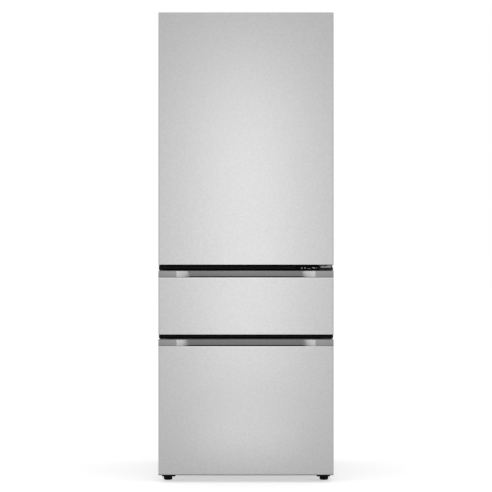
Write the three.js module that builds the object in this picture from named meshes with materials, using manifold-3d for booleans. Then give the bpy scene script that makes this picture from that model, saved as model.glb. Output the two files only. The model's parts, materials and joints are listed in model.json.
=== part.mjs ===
// A three-door standing kimchi refrigerator: a hinged upper door over two pull-out drawers.
// Millimetres, +Z up. The front looks along -Y, and the origin is on the floor under the middle of the box.
import * as THREE from "three";
import { mergeVertices } from "three/addons/utils/BufferGeometryUtils.js";
import Module from "manifold-3d";

const wasm = await Module();
wasm.setup();

// ---------------------------------------------------------------- driving dimensions

// Overall size, and the stack of the front from the floor up.
const WIDTH = 666; // over the doors
const DEPTH = 737; // handle face to machine room cover
const FLOOR_GAP = 28; // floor to the lower drawer
const LOWER_PANEL = 490.5; // steel of the lower drawer
const MIDDLE_PANEL = 217.5; // steel of the middle drawer
const DOOR_HEIGHT = 959.5;
const HANDLE_BAND = 26; // metal handle and the shadow line under it
const LOWER_GAP = 17.5; // open slot over the lower handle
const UPPER_GAP = 22; // open slot over the middle handle

// Fronts.
const SHEET = 1; // steel of skins and case
const FRONT_THICK = 62; // steel face to inner face of a door or drawer front
const SKIN_RADIUS = 4; // vertical edges of the steel fronts
const HEM = 8; // lip folded in at the back of a steel front
const HANDLE_PROUD = 1.5; // handle face ahead of the steel
const HANDLE_FACE = 6.5; // thickness of the handle's front wall
const HANDLE_WALL = 3; // and of its top and hook
const HANDLE_SHADOW = 1; // gap under the handle
const HOOK_REACH = 12.5; // how far the handle's top turns back
const HOOK_DROP = 9; // and down again
const SCOOP_SIDE = 67; // a front's edge to the scoop in its handle
const SCOOP_RUN = 54; // length over which the scoop deepens, at each end
const SCOOP_DEPTH = 2;
const SCOOP_TURN = 3; // how much deeper it gets at the lower edge
const SCOOP_LIFT = 3; // handle's lower edge rises in the scoop
const GRIP_WIDTH = 38; // finger channel, handle to back wall
const GRIP_DEPTH = 7; // channel floor below the steel's top edge
const GRIP_CAP_DEPTH = 18; // cap below the steel's top edge
const GRIP_END = 7; // wall that closes each end of the channel
const CAP_UNDER_HOOK = 0.5; // cap's top below the underside of the handle's top
const DOOR_BOTTOM_CAP = 20;
const POCKET_DEPTH = 12; // finger pocket under the upper door
const POCKET_WIDTH = 24;
const POCKET_LIP = 10; // pocket behind the steel face
const LINER = 2; // plastic walls

// Seals, between the fronts and the cabinet.
const SEAL_GAP = 9; // fronts to cabinet face
const SEAL_WIDTH = 16;
const SEAL_GROOVE = 2; // width and depth
const SEAL_INSET = 16; // seal's outer edge inside a front's edge
const SEAL_MARGIN = 4; // seal's inner edge to a compartment
const PLUG_REACH = 14; // raised back of a front, past the cabinet face
const PLUG_CLEAR = 8; // and its room all round in the compartment

// Cabinet.
const CASE_INSET = 1; // case inside the fronts' sides
const DOOR_OVER_CASE = 17; // door's top above the case
const CASE_BOTTOM = 34;
const SIDE_WALL = 48; // case to compartment
const BACK_WALL = 62;
const CEILING = 50;
const LOWER_FLOOR = 100; // floor of the lower compartment
const REAR_PROUD = 12.5; // machine room cover behind the back panel
const LINER_FLANGE = 10;
const DECK_LEVEL = 48; // underside of the insulation's floor plate
const DECK = 1.5;
const MACHINE_DEPTH = 190;
const MACHINE_TOP = 262;
const STEP_WALL = 45; // insulation between machine room and lower compartment

// Hinges.
const PIVOT_SIDE = 19; // from the door's edge
const PIVOT_BACK = 28; // behind the steel face
const PIN_RADIUS = 5;
const PIN_SIDES = 16;
const HINGE_PLATE = 4;
const NOTCH_DROP = 2; // notch in the door below the case's top
const NOTCH_LIP = 4; // what is left of the door's top in front of the notch
const COVER_WALL = 1.5;

// Centre trims.
const TRIM_SET_BACK = 38; // trim face behind the steel face
const TRIM_CLEAR = 3; // to the fronts above and below
const TRIM_WALL = 2;
const WINDOW_WIDTH = 84;
const WINDOW_THICK = 1.5;

// Drawer slides.
const SLIDE_LENGTH = 460;
const SLIDE_SET_BACK = 20; // slides behind the cabinet's face
const SLIDE_HEIGHT = 44;
const SLIDE_SHEET = 1.4;
const SLIDE_PLAY = 0.5; // between members
const SLIDE_DEPTH = 12; // flanges of the fixed and the middle member
const MIDDLE_SLIDE_LEVEL = 40; // middle of a slide above its compartment's floor
const LOWER_SLIDE_LEVEL = 260;
const SYNC_BAR = 12; // cross bar that ties the middle members of a pair
const CRADLE_SHEET = 1.5;
const CRADLE_SIDE = 14; // cradle's wall to the compartment's wall
const CRADLE_LIFT = 4; // cradle over the compartment's floor
const CRADLE_BACK = 60; // height of its rear wall
const WINDOW_EDGE = 40; // sheet left round the windows in the cradle's sides

// Containers.
const BOX_WALL = 3;
const BOX_GAP = 3; // beside and between containers
const MIDDLE_HEADROOM = 36; // containers' rim to the compartment's ceiling
const LOWER_HEADROOM = 111;
const CRADLE_TO_BAR = 5; // middle cradle to the bar that ties its slides
const CRADLE_TO_STEP = 14; // lower cradle to the step in its compartment
const LID_PLATE = 6;
const LID_RISE = 6; // raised panel
const LID_BORDER = 20;
const LID_SKIRT = 10;
const LID_SKIRT_WALL = 2;

// Upper compartment.
const SHELF_COUNT = 2;
const SHELF_THICK = 5;
const SHELF_SET_BACK = 34; // shelf behind the cabinet face
const RIB = 10; // shelf rib on the side walls
const DUCT_DEPTH = 60; // duct cover to the back wall

const FIT = 0.3; // gap between pieces that touch
const TURN_GAP = 0.4; // round a turning or sliding shaft

// ---------------------------------------------------------------- levels that follow

const halfWidth = WIDTH / 2;
const handleFace = -DEPTH / 2;
const steelFace = handleFace + HANDLE_PROUD;
const frontBack = steelFace + FRONT_THICK;
const cabinetFace = frontBack + SEAL_GAP;
const backFace = DEPTH / 2 - REAR_PROUD;

const lowerBottom = FLOOR_GAP;
const lowerSteelTop = lowerBottom + LOWER_PANEL;
const lowerTop = lowerSteelTop + HANDLE_BAND;
const middleBottom = lowerTop + LOWER_GAP;
const middleSteelTop = middleBottom + MIDDLE_PANEL;
const middleTop = middleSteelTop + HANDLE_BAND;
const doorBottom = middleTop + UPPER_GAP;
const doorTop = doorBottom + DOOR_HEIGHT;
const caseTop = doorTop - DOOR_OVER_CASE;
const caseSide = halfWidth - CASE_INSET;
const insideCase = caseSide - SHEET - FIT;

const roomSide = caseSide - SIDE_WALL; // inner face of the liners
const roomBack = backFace - BACK_WALL;
const machineFront = backFace - MACHINE_DEPTH;
const sealSide = halfWidth - SEAL_INSET;
const sealToRoom = SEAL_WIDTH + SEAL_MARGIN;

const hinge = new THREE.Vector2(halfWidth - PIVOT_SIDE, steelFace + PIVOT_BACK);
const plugBack = cabinetFace + PLUG_REACH;

// Each front's seal, and the compartment behind it.
const capLand = (top) => top - HANDLE_WALL - CAP_UNDER_HOOK;
const upperSeal = { bottom: doorBottom + SEAL_INSET, top: caseTop - SEAL_MARGIN };
const middleSeal = { bottom: middleBottom + SEAL_INSET, top: capLand(middleTop) - SEAL_MARGIN };
const lowerSeal = { bottom: LOWER_FLOOR - sealToRoom, top: capLand(lowerTop) - SEAL_MARGIN };
const upperRoom = { floor: upperSeal.bottom + sealToRoom, ceiling: caseTop - CEILING };
const middleRoom = { floor: middleSeal.bottom + sealToRoom, ceiling: middleSeal.top - sealToRoom };
const lowerRoom = { floor: LOWER_FLOOR, ceiling: lowerSeal.top - sealToRoom };

// ---------------------------------------------------------------- shapes

const part = new THREE.Group();

function add(name, geometry, material, place = [0, 0, 0]) {
  const mesh = new THREE.Mesh(geometry, material);
  mesh.name = name;
  mesh.position.set(...place);
  part.add(mesh);
}

// A box between two corners, given as [low, high] along x, y and z.
function block(...spans) {
  const geometry = new THREE.BoxGeometry(1, 1, 1);
  const corners = geometry.attributes.position;
  for (let i = 0; i < corners.count; i += 1) {
    spans.forEach(([low, high], axis) =>
      corners.setComponent(i, axis, corners.getComponent(i, axis) < 0 ? low : high));
  }
  return geometry;
}

const shrink = ([from, to], by) => [from + by, to - by];

// A span from the compartments' side wall inwards, on the left (-1) or the right (1).
const fromWall = (side, near, far) =>
  (side < 0 ? [-roomSide + near, -roomSide + far] : [roomSide - far, roomSide - near]);

const vectors = (points) => points.map(([u, v]) => new THREE.Vector2(u, v));
const outlineOf = (points) => (points instanceof THREE.Shape ? points : new THREE.Shape(vectors(points)));

function extrude(points, length) {
  const how = { depth: length, bevelEnabled: false, curveSegments: 4 };
  return new THREE.ExtrudeGeometry(outlineOf(points), how);
}

// Prisms along each axis. Their outlines are (y, z), (x, z) and (x, y).
function alongX(points, [from, to]) {
  const turn = new THREE.Matrix4().makeBasis(
    new THREE.Vector3(0, 1, 0), new THREE.Vector3(0, 0, 1), new THREE.Vector3(1, 0, 0));
  return extrude(points, to - from).applyMatrix4(turn).translate(from, 0, 0);
}

function alongY(points, [from, to]) {
  return extrude(points, to - from).rotateX(Math.PI / 2).translate(0, to, 0);
}

function alongZ(points, [from, to]) {
  return extrude(points, to - from).translate(0, 0, from);
}

function rectangle([left, right], [low, high], radius = 0) {
  const shape = new THREE.Shape();
  if (!radius) {
    return shape.moveTo(left, low).lineTo(right, low).lineTo(right, high).lineTo(left, high).closePath();
  }
  shape.absarc(right - radius, low + radius, radius, -Math.PI / 2, 0);
  shape.absarc(right - radius, high - radius, radius, 0, Math.PI / 2);
  shape.absarc(left + radius, high - radius, radius, Math.PI / 2, Math.PI);
  shape.absarc(left + radius, low + radius, radius, Math.PI, 1.5 * Math.PI);
  return shape.closePath();
}

function frame(outer, inner) {
  outer.holes.push(inner);
  return outer;
}

// A round bar about X, Y or Z through a point, between two stations on that axis. A corner points along
// the first of the other axes, so a wheel with sides in fours stands on a corner.
function bar(axis, centre, radius, [from, to], sides = 16, farRadius = radius) {
  const geometry = new THREE.CylinderGeometry(farRadius, radius, to - from, sides);
  if (axis === "z") geometry.rotateX(Math.PI / 2);
  if (axis === "x") geometry.rotateZ(-Math.PI / 2);
  const middle = (from + to) / 2;
  if (axis === "x") return geometry.translate(middle, centre[0], centre[1]);
  if (axis === "y") return geometry.translate(centre[0], middle, centre[1]);
  return geometry.translate(centre[0], centre[1], middle);
}

// A turned shape about Y, from (radius, y) points.
const spin = (points, sides) => new THREE.LatheGeometry(vectors(points), sides);

// A body along X through (y, z) outlines with as many points each, given as [x, points] from the left.
function loft(stations) {
  const size = stations[0][1].length;
  const last = size * (stations.length - 1);
  const ends = THREE.ShapeUtils.triangulateShape(vectors(stations[0][1]), []);
  const index = ends.flatMap(([a, b, c]) => [a, c, b, last + a, last + b, last + c]);
  for (let start = 0; start < last; start += size) {
    for (let point = 0; point < size; point += 1) {
      const [a, b] = [start + point, start + ((point + 1) % size)];
      index.push(a, b, b + size, a, b + size, a + size);
    }
  }
  const places = stations.flatMap(([x, points]) => points.flatMap(([y, z]) => [x, y, z]));
  const geometry = new THREE.BufferGeometry().setIndex(index);
  return geometry.setAttribute("position", new THREE.Float32BufferAttribute(places, 3));
}

function solid(geometry) {
  const bare = geometry.index ? geometry.toNonIndexed() : geometry.clone();
  for (const name of Object.keys(bare.attributes)) if (name !== "position") bare.deleteAttribute(name);
  const merged = mergeVertices(bare, 1e-4);
  return new wasm.Manifold(new wasm.Mesh({
    numProp: 3,
    vertProperties: merged.attributes.position.array,
    triVerts: new Uint32Array(merged.index.array),
  }));
}

function geometryOf(manifold) {
  const { vertProperties, triVerts } = manifold.getMesh();
  const geometry = new THREE.BufferGeometry();
  geometry.setAttribute("position", new THREE.BufferAttribute(vertProperties, 3));
  geometry.setIndex(new THREE.BufferAttribute(triVerts, 1));
  return geometry;
}

const join = (...pieces) => geometryOf(pieces.map(solid).reduce((whole, piece) => whole.add(piece)));
const cut = (base, ...tools) =>
  geometryOf(tools.map(solid).reduce((rest, tool) => rest.subtract(tool), solid(base)));

// ---------------------------------------------------------------- materials

function finish(color, roughness, metalness = 0) {
  return new THREE.MeshStandardMaterial({ color, roughness, metalness });
}

const brushedSteel = finish(0xcfcfd0, 0.42, 0.9);
const handleMetal = finish(0x8d8d90, 0.28, 0.95);
const paintedSteel = finish(0xb4b6b8, 0.5, 0.2);
const zincSteel = finish(0x9fa3a6, 0.45, 0.8);
const springSteel = finish(0xb9bcc0, 0.3, 0.95);
const blackPlastic = finish(0x121214, 0.45);
const blackGlass = finish(0x050506, 0.08);
const whitePlastic = finish(0xeceef0, 0.45);
const greyPlastic = finish(0xa9adb1, 0.5);
const clearShelf = finish(0xdfe9e6, 0.1);
const containerPlastic = finish(0xd6d9dc, 0.5);
const lidPlastic = finish(0x8f979d, 0.45);
const sealRubber = finish(0x8b8e91, 0.7);
const foam = finish(0xe6dcae, 0.9);
const castBlack = finish(0x1b1b1d, 0.5, 0.3);
const finMetal = finish(0xbfc4c8, 0.35, 0.9);

// ---------------------------------------------------------------- cabinet

const rooms = [upperRoom, middleRoom, lowerRoom];
const linerBack = roomBack + LINER;
const stepFront = machineFront - STEP_WALL; // inner face of the step in the lower compartment
const stepTop = MACHINE_TOP + STEP_WALL;
const foamFront = cabinetFace + SHEET + LINER + 2 * FIT;

// The (y, z) outline of a compartment, grown outwards by a wall. Only the lower one has the step.
function roomOutline(room, grow, from, stepped) {
  const floor = room.floor - grow;
  const ceiling = room.ceiling + grow;
  const back = roomBack + grow;
  if (!stepped) return [[from, floor], [back, floor], [back, ceiling], [from, ceiling]];
  const slope = STEP_WALL; // the step's top front edge is cut away at 45 degrees
  return [
    [from, floor], [stepFront + grow, floor], [stepFront + grow, stepTop - slope - grow],
    [stepFront + slope + grow, stepTop - grow], [back, stepTop - grow], [back, ceiling], [from, ceiling],
  ];
}

function liner(room, stepped) {
  const side = roomSide + LINER;
  const front = cabinetFace + SHEET + FIT;
  const flange = side + LINER_FLANGE - LINER;
  const shell = alongX(roomOutline(room, LINER, front, stepped), [-side, side]);
  const lip = block([-flange, flange], [front, front + LINER],
    [room.floor - LINER_FLANGE, room.ceiling + LINER_FLANGE]);
  const room3d = alongX(roomOutline(room, 0, front - 1, stepped), [-roomSide, roomSide]);
  return cut(join(shell, lip), room3d);
}

function outerCase() {
  const wrap = alongY([
    [-caseSide, CASE_BOTTOM], [-caseSide, caseTop], [caseSide, caseTop], [caseSide, CASE_BOTTOM],
    [caseSide - SHEET, CASE_BOTTOM], [caseSide - SHEET, caseTop - SHEET],
    [-caseSide + SHEET, caseTop - SHEET], [-caseSide + SHEET, CASE_BOTTOM],
  ], [cabinetFace, backFace]);
  const face = block([-caseSide, caseSide], [cabinetFace, cabinetFace + SHEET], [CASE_BOTTOM, caseTop]);
  const doorways = rooms.map((room) =>
    block([-roomSide, roomSide], [cabinetFace - 1, cabinetFace + SHEET + 1], [room.floor, room.ceiling]));
  return join(wrap, cut(face, ...doorways));
}

const foamFloor = DECK_LEVEL + DECK + FIT;
const foamBack = backFace - SHEET - FIT;

function cabinetFoam() {
  const core = block([-insideCase, insideCase], [foamFront, foamBack], [foamFloor, caseTop - SHEET - FIT]);
  const side = roomSide + LINER + FIT;
  const hollows = rooms.map((room) =>
    alongX(roomOutline(room, LINER + FIT, foamFront - 1, room === lowerRoom), [-side, side]));
  const machineRoom = block([-WIDTH, WIDTH], [machineFront - DECK - FIT, DEPTH], [0, MACHINE_TOP + FIT]);
  return cut(core, ...hollows, machineRoom);
}

add("outer_case", outerCase(), paintedSteel);
add("back_panel", block([-insideCase, insideCase], [backFace - SHEET, backFace],
  [MACHINE_TOP + FIT, caseTop - SHEET - FIT]), zincSteel);
add("cabinet_foam", cabinetFoam(), foam);

// ---------------------------------------------------------------- base, feet and rollers

const FOOT_RADIUS = 16.7;
const FOOT_PAD = 13.5;
const FOOT_STUD = 5;
const FOOT_FROM_SIDE = 33;
const FOOT_BEHIND_FACE = 24; // foot behind the cabinet's face
const BRACKET_HALF = 24.75;
const BRACKET_SHIFT = 3; // bracket's middle inside the foot's
const BRACKET_GAP = 1; // over the foot's pad
const BEAM_WIDTH = 56;
const ROLLER_RADIUS = 20;
const ROLLER_WIDTH = 14;
const ROLLER_FROM_SIDE = 63;
const ROLLER_FROM_BACK = 50;
const ROLLER_AXLE = 3;
const EAR = 2.5;
const EAR_RADIUS = 8;
const ROLLER_CLEAR = 2; // roller to its well, fore and aft
const PAD_EDGE = 3; // bevel round a foot's pad
const STUD_UNDER_DECK = 2;

const deckSide = insideCase;
const deckFront = cabinetFace + SHEET + FIT;
const deckBack = backFace - SHEET - FIT;
const machineFloor = CASE_BOTTOM + 2 * DECK; // top of the floor plate
const footX = halfWidth - FOOT_FROM_SIDE;
const footY = cabinetFace + FOOT_BEHIND_FACE;
const rollerX = halfWidth - ROLLER_FROM_SIDE;
const rollerY = backFace - ROLLER_FROM_BACK;

// One bent sheet: front beam, floor plate under the insulation, front wall and roof of the machine room.
// Its side walls and the brackets of the feet are welded on.
function bottomDeck() {
  const half = DECK / 2;
  const under = machineFront - DECK;
  const roof = MACHINE_TOP - DECK;
  const pieces = [alongX([
    [deckFront, CASE_BOTTOM], [deckFront + BEAM_WIDTH, CASE_BOTTOM],
    [deckFront + BEAM_WIDTH, CASE_BOTTOM + DECK], [deckFront + DECK, CASE_BOTTOM + DECK],
    [deckFront + DECK, DECK_LEVEL], [under, DECK_LEVEL], [under, CASE_BOTTOM], [machineFront, CASE_BOTTOM],
    [machineFront, roof], [deckBack, roof], [deckBack, MACHINE_TOP], [under, MACHINE_TOP],
    [under, DECK_LEVEL + DECK], [deckFront, DECK_LEVEL + DECK],
  ], shrink([-deckSide, deckSide], half))];
  const wells = [];
  for (const side of [-1, 1]) {
    const wallX = side < 0 ? [-deckSide, DECK - deckSide] : [deckSide - DECK, deckSide];
    pieces.push(block(wallX, [machineFront - half, deckBack - half],
      [CASE_BOTTOM + half, MACHINE_TOP - half]));
    const bracketX = side * (footX - BRACKET_SHIFT);
    pieces.push(block([bracketX - BRACKET_HALF, bracketX + BRACKET_HALF],
      [deckFront + half, footY + BRACKET_HALF], [FOOT_PAD + BRACKET_GAP, CASE_BOTTOM + half]));
    wells.push(bar("z", [side * footX, footY], FOOT_STUD + TURN_GAP, [0, DECK_LEVEL]));
  }
  return cut(join(...pieces), ...wells);
}

// Floor of the machine room, with a slot for each roller and two ears that hold its axle.
function machineBase() {
  const wide = deckSide - DECK - FIT;
  const half = ROLLER_WIDTH / 2 + TURN_GAP;
  const earZ = [ROLLER_RADIUS - EAR_RADIUS, machineFloor];
  const slotY = [rollerY - ROLLER_RADIUS - ROLLER_CLEAR, rollerY + ROLLER_RADIUS + ROLLER_CLEAR];
  const sheets = [block([-wide, wide], [machineFront + FIT, deckBack], [CASE_BOTTOM, machineFloor])];
  const wells = [];
  for (const x of [-rollerX, rollerX]) {
    wells.push(block([x - half, x + half], slotY, [0, machineFloor + 1]));
    for (const ear of [x - half - EAR, x + half]) {
      sheets.push(block([ear, ear + EAR], [rollerY - EAR_RADIUS, rollerY + EAR_RADIUS], earZ));
    }
    wells.push(bar("x", [rollerY, ROLLER_RADIUS], ROLLER_AXLE + TURN_GAP,
      [x - half - EAR - 1, x + half + EAR + 1], 12));
  }
  return cut(join(...sheets), ...wells);
}

function foot() {
  const studTop = DECK_LEVEL - STUD_UNDER_DECK;
  return spin([
    [0, 0], [FOOT_RADIUS - PAD_EDGE, 0], [FOOT_RADIUS, PAD_EDGE], [FOOT_RADIUS, FOOT_PAD],
    [FOOT_STUD, FOOT_PAD], [FOOT_STUD, studTop], [0, studTop],
  ], 16).rotateX(Math.PI / 2);
}

function roller() {
  const half = ROLLER_WIDTH / 2;
  const axle = half + TURN_GAP + EAR;
  const tyre = bar("x", [0, 0], ROLLER_RADIUS, [-half, half], 32);
  return join(tyre, bar("x", [0, 0], ROLLER_AXLE, [-axle, axle], 12));
}

add("bottom_deck", bottomDeck(), zincSteel);
add("machine_base", machineBase(), zincSteel);
for (const [side, sign] of [["left", -1], ["right", 1]]) {
  add(`foot_${side}`, foot(), blackPlastic, [sign * footX, footY, 0]);
  add(`roller_${side}`, roller(), blackPlastic, [sign * rollerX, rollerY, ROLLER_RADIUS]);
}

// ---------------------------------------------------------------- machine room

const COMPRESSOR_RADIUS = 78;
const COMPRESSOR_HEIGHT = 168;
const COMPRESSOR_FROM_SIDE = 183;
const CROWN = 50; // height of the can's domed ends
const CROWN_FLAT = 0.35; // flat middle of a domed end, as a share of the radius
const GROMMET = 10;
const GROMMET_RADIUS = 10;
const PLATE_HALF = 70; // compressor's foot plate
const PLATE_THICK = 3;
const TERMINALS = { out: 14, half: 30, low: 55, high: 115 }; // terminal box on the can's left
const STUB = { radius: 5, out: 14, level: 100, at: [-20, 25] }; // pipe stubs on its right
const FAN_RADIUS = 66;
const FAN_DEPTH = 24;
const BLADES = 5;
const BLADE_THICK = 2;
const HUB_SHARE = 0.3; // hub's radius as a share of the fan's
const SHAFT_RADIUS = 3;
const FAN_SHAFT = 8;
const MOTOR_DEPTH = 26;
const MOTOR_RADIUS = 20;
const STRUT = 6;
const FINS = 10;
const FIN = 1.2;
const COIL_TUBE = 4.5; // radius of the coils' tubes
const CONDENSER_FROM_SIDE = 103;
const CONDENSER_LENGTH = 160;
const CONDENSER_HEIGHT = 130;
const CONDENSER_HALF_DEPTH = 75;
const CONDENSER_TUBES = { aside: 45, inside: 30, out: 6 }; // from the middle, from the edges, past the fins
const SHROUD = { half: 84, over: 12, clear: 3, thick: 2 };
const RAIL = { wide: 6, thick: 2, past: 3 };
const FAN_TO_COIL = 50; // back of the fan to the condenser
const TRAY_HEIGHT = 26;
const TRAY_WALL = 2;
const TRAY_PAST = 12; // tray beyond the condenser's ends
const TRAY_HALF_DEPTH = 82;
const TRAY_CLEAR = 6; // under the condenser

const machineY = (machineFront + deckBack) / 2;
const compressorX = COMPRESSOR_FROM_SIDE - halfWidth;
const condenserX = [-CONDENSER_LENGTH, 0].map((shift) => halfWidth - CONDENSER_FROM_SIDE + shift);
const fanX = condenserX[0] - FAN_TO_COIL;

// A hermetic compressor: a domed can on a plate with four grommets, its terminal box and two pipe stubs.
function compressor() {
  const bottom = machineFloor + FIT;
  const foot = bottom + GROMMET;
  const profile = [[0, foot]];
  const quarter = 4;
  for (const [centre, from] of [[foot + CROWN, -quarter], [foot + COMPRESSOR_HEIGHT - CROWN, 0]]) {
    for (let step = from; step <= from + quarter; step += 1) {
      const angle = (Math.PI / 2) * (step / quarter);
      const out = CROWN_FLAT + (1 - CROWN_FLAT) * Math.cos(angle);
      profile.push([COMPRESSOR_RADIUS * out, centre + CROWN * Math.sin(angle)]);
    }
  }
  profile.push([0, foot + COMPRESSOR_HEIGHT]);
  const can = spin(profile, 24).rotateX(Math.PI / 2).translate(compressorX, machineY, 0);
  const plateX = [compressorX - PLATE_HALF, compressorX + PLATE_HALF];
  const plate = block(plateX, [machineY - PLATE_HALF, machineY + PLATE_HALF], [foot, foot + PLATE_THICK]);
  const corner = PLATE_HALF - GROMMET_RADIUS;
  const grommets = [[-1, -1], [-1, 1], [1, -1], [1, 1]].map(([u, v]) =>
    bar("z", [compressorX + u * corner, machineY + v * corner], GROMMET_RADIUS, [bottom, foot + 1], 12));
  const terminals = block([compressorX - COMPRESSOR_RADIUS - TERMINALS.out, compressorX],
    [machineY - TERMINALS.half, machineY + TERMINALS.half], [foot + TERMINALS.low, foot + TERMINALS.high]);
  const stubs = STUB.at.map((shift) => bar("x", [machineY + shift, foot + STUB.level], STUB.radius,
    [compressorX, compressorX + COMPRESSOR_RADIUS + STUB.out], 8));
  return join(can, plate, ...grommets, terminals, ...stubs);
}

// An axial fan about +Y, with its back on y = 0, blades twisted between hub and tip, and a stub shaft.
function fan(radius, depth) {
  const hub = radius * HUB_SHARE;
  const root = hub * 0.8; // blades start inside the hub
  const shaft = bar("y", [0, 0], SHAFT_RADIUS, [-FAN_SHAFT, 1], 12);
  const pieces = [bar("y", [0, 0], hub, [0, depth], 20)];
  for (let blade = 0; blade < BLADES; blade += 1) {
    const sheet = new THREE.BoxGeometry(radius - root, BLADE_THICK, radius * 0.52, 3, 1, 1);
    const points = sheet.attributes.position;
    for (let i = 0; i < points.count; i += 1) {
      const out = points.getX(i) + (radius + root) / 2;
      const pitch = 0.75 - (0.4 * out) / radius; // radians, less towards the tip
      const across = points.getZ(i) * (0.55 + (0.45 * out) / radius); // wider towards the tip
      const through = points.getY(i);
      points.setXYZ(i, out, through * Math.cos(pitch) - across * Math.sin(pitch),
        through * Math.sin(pitch) + across * Math.cos(pitch));
    }
    pieces.push(sheet.translate(0, depth / 2, 0).rotateY((2 * Math.PI * blade) / BLADES));
  }
  const wheel = pieces.map(solid).reduce((sum, piece) => sum.add(piece));
  const slice = solid(block([-radius, radius], [0, depth], [-radius, radius]));
  return geometryOf(wheel.intersect(slice).add(solid(shaft)));
}

const fanZ = machineFloor + TRAY_HEIGHT + TRAY_CLEAR + CONDENSER_HEIGHT / 2;
const shroudFront = fanX + FAN_DEPTH + FIT;

// Finned coil with its shroud: a plate with a round hole, and the motor held in it by struts.
function condenser() {
  const [low, high] = [fanZ - CONDENSER_HEIGHT / 2, fanZ + CONDENSER_HEIGHT / 2];
  const deep = [machineY - CONDENSER_HALF_DEPTH, machineY + CONDENSER_HALF_DEPTH];
  const [first, last] = condenserX;
  const pieces = [];
  for (let fin = 0; fin < FINS; fin += 1) {
    const x = first + ((last - first) * fin) / (FINS - 1);
    pieces.push(block([x - FIN / 2, x + FIN / 2], deep, [low, high]));
  }
  const { aside, inside, out } = CONDENSER_TUBES;
  for (const z of [low + inside, high - inside]) {
    for (const y of [machineY - aside, machineY + aside]) {
      pieces.push(bar("x", [y, z], COIL_TUBE, [first - out, last + out], 6));
    }
  }
  const plate = [shroudFront, shroudFront + SHROUD.thick];
  const shroudY = [machineY - SHROUD.half, machineY + SHROUD.half];
  const shroud = cut(
    block(plate, shroudY, [machineFloor + FIT, high + SHROUD.over]),
    bar("x", [machineY, fanZ], FAN_RADIUS + SHROUD.clear, [plate[0] - 1, plate[1] + 1], 24));
  const strut = FAN_RADIUS + SHROUD.clear + 1;
  const struts = [
    block(plate, [machineY - STRUT, machineY + STRUT], [fanZ - strut, fanZ + strut]),
    block(plate, [machineY - strut, machineY + strut], [fanZ - STRUT, fanZ + STRUT]),
  ];
  const motor = bar("x", [machineY, fanZ], MOTOR_RADIUS, [plate[0], plate[0] + MOTOR_DEPTH], 20);
  const rails = [low, high - RAIL.thick].map((z) =>
    block([plate[0], last + RAIL.past], [deep[0], deep[0] + RAIL.wide], [z, z + RAIL.thick]));
  const bore = bar("x", [machineY, fanZ], SHAFT_RADIUS + TURN_GAP,
    [plate[0] - 1, plate[0] + FAN_SHAFT + 1], 12);
  return cut(join(...pieces, shroud, ...struts, motor, ...rails), bore);
}

function dripTray() {
  const wide = [condenserX[0] - TRAY_PAST, condenserX[1] + TRAY_PAST];
  const deep = [machineY - TRAY_HALF_DEPTH, machineY + TRAY_HALF_DEPTH];
  const bottom = machineFloor + FIT;
  const top = bottom + TRAY_HEIGHT;
  return cut(block(wide, deep, [bottom, top]),
    block(shrink(wide, TRAY_WALL), shrink(deep, TRAY_WALL), [bottom + TRAY_WALL, top + 1]));
}

const COVER_SHEET = 1.5;
const SLOT_ROWS = 9;
const SLOT_HEIGHT = 8;
const SLOT_BORDER = 30; // first and last slot to the cover's edges
const SLOT_FROM_SIDE = 40; // slots to the cover's sides
const SLOT_LENGTH = { left: 180, right: 230 };

// A cover pan with rows of level air slots. Its open side looks forwards.
function machineCover() {
  const wide = [-deckSide, deckSide];
  const deep = [deckBack + FIT, DEPTH / 2];
  const levels = [CASE_BOTTOM, MACHINE_TOP];
  const pan = cut(block(wide, deep, levels),
    block(shrink(wide, COVER_SHEET), [deep[0] - 1, deep[1] - COVER_SHEET], shrink(levels, COVER_SHEET)));
  const through = [deep[1] - COVER_SHEET - 1, deep[1] + 1];
  const pitch = (MACHINE_TOP - CASE_BOTTOM - 2 * SLOT_BORDER) / (SLOT_ROWS - 1);
  const far = deckSide - SLOT_FROM_SIDE;
  const slots = [];
  for (let row = 0; row < SLOT_ROWS; row += 1) {
    const low = CASE_BOTTOM + SLOT_BORDER + row * pitch - SLOT_HEIGHT / 2;
    for (const span of [[-far, SLOT_LENGTH.left - far], [far - SLOT_LENGTH.right, far]]) {
      slots.push(block(span, through, [low, low + SLOT_HEIGHT]));
    }
  }
  return cut(pan, ...slots);
}

add("compressor", compressor(), castBlack);
add("condenser", condenser(), finMetal);
const fanWheel = fan(FAN_RADIUS, FAN_DEPTH).rotateZ(Math.PI / 2);
add("condenser_fan", fanWheel, blackPlastic, [fanX + FAN_DEPTH, machineY, fanZ]);
add("drip_tray", dripTray(), greyPlastic);
add("machine_cover", machineCover(), zincSteel);

// ---------------------------------------------------------------- back of the cabinet

const BOARD_COVER = { x: [-120, 120], below: [210, 60], depth: 9, corner: 8, edge: 4 };

function boardCover() {
  const near = backFace + FIT;
  const { x, below, depth, corner, edge } = BOARD_COVER;
  const levels = below.map((drop) => caseTop - drop);
  return cut(alongY(rectangle(x, levels, corner), [near, near + depth]),
    block(shrink(x, edge), [near - 1, near + depth - COVER_WALL], shrink(levels, edge)));
}

add("board_cover", boardCover(), greyPlastic);

// ---------------------------------------------------------------- upper compartment

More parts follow.
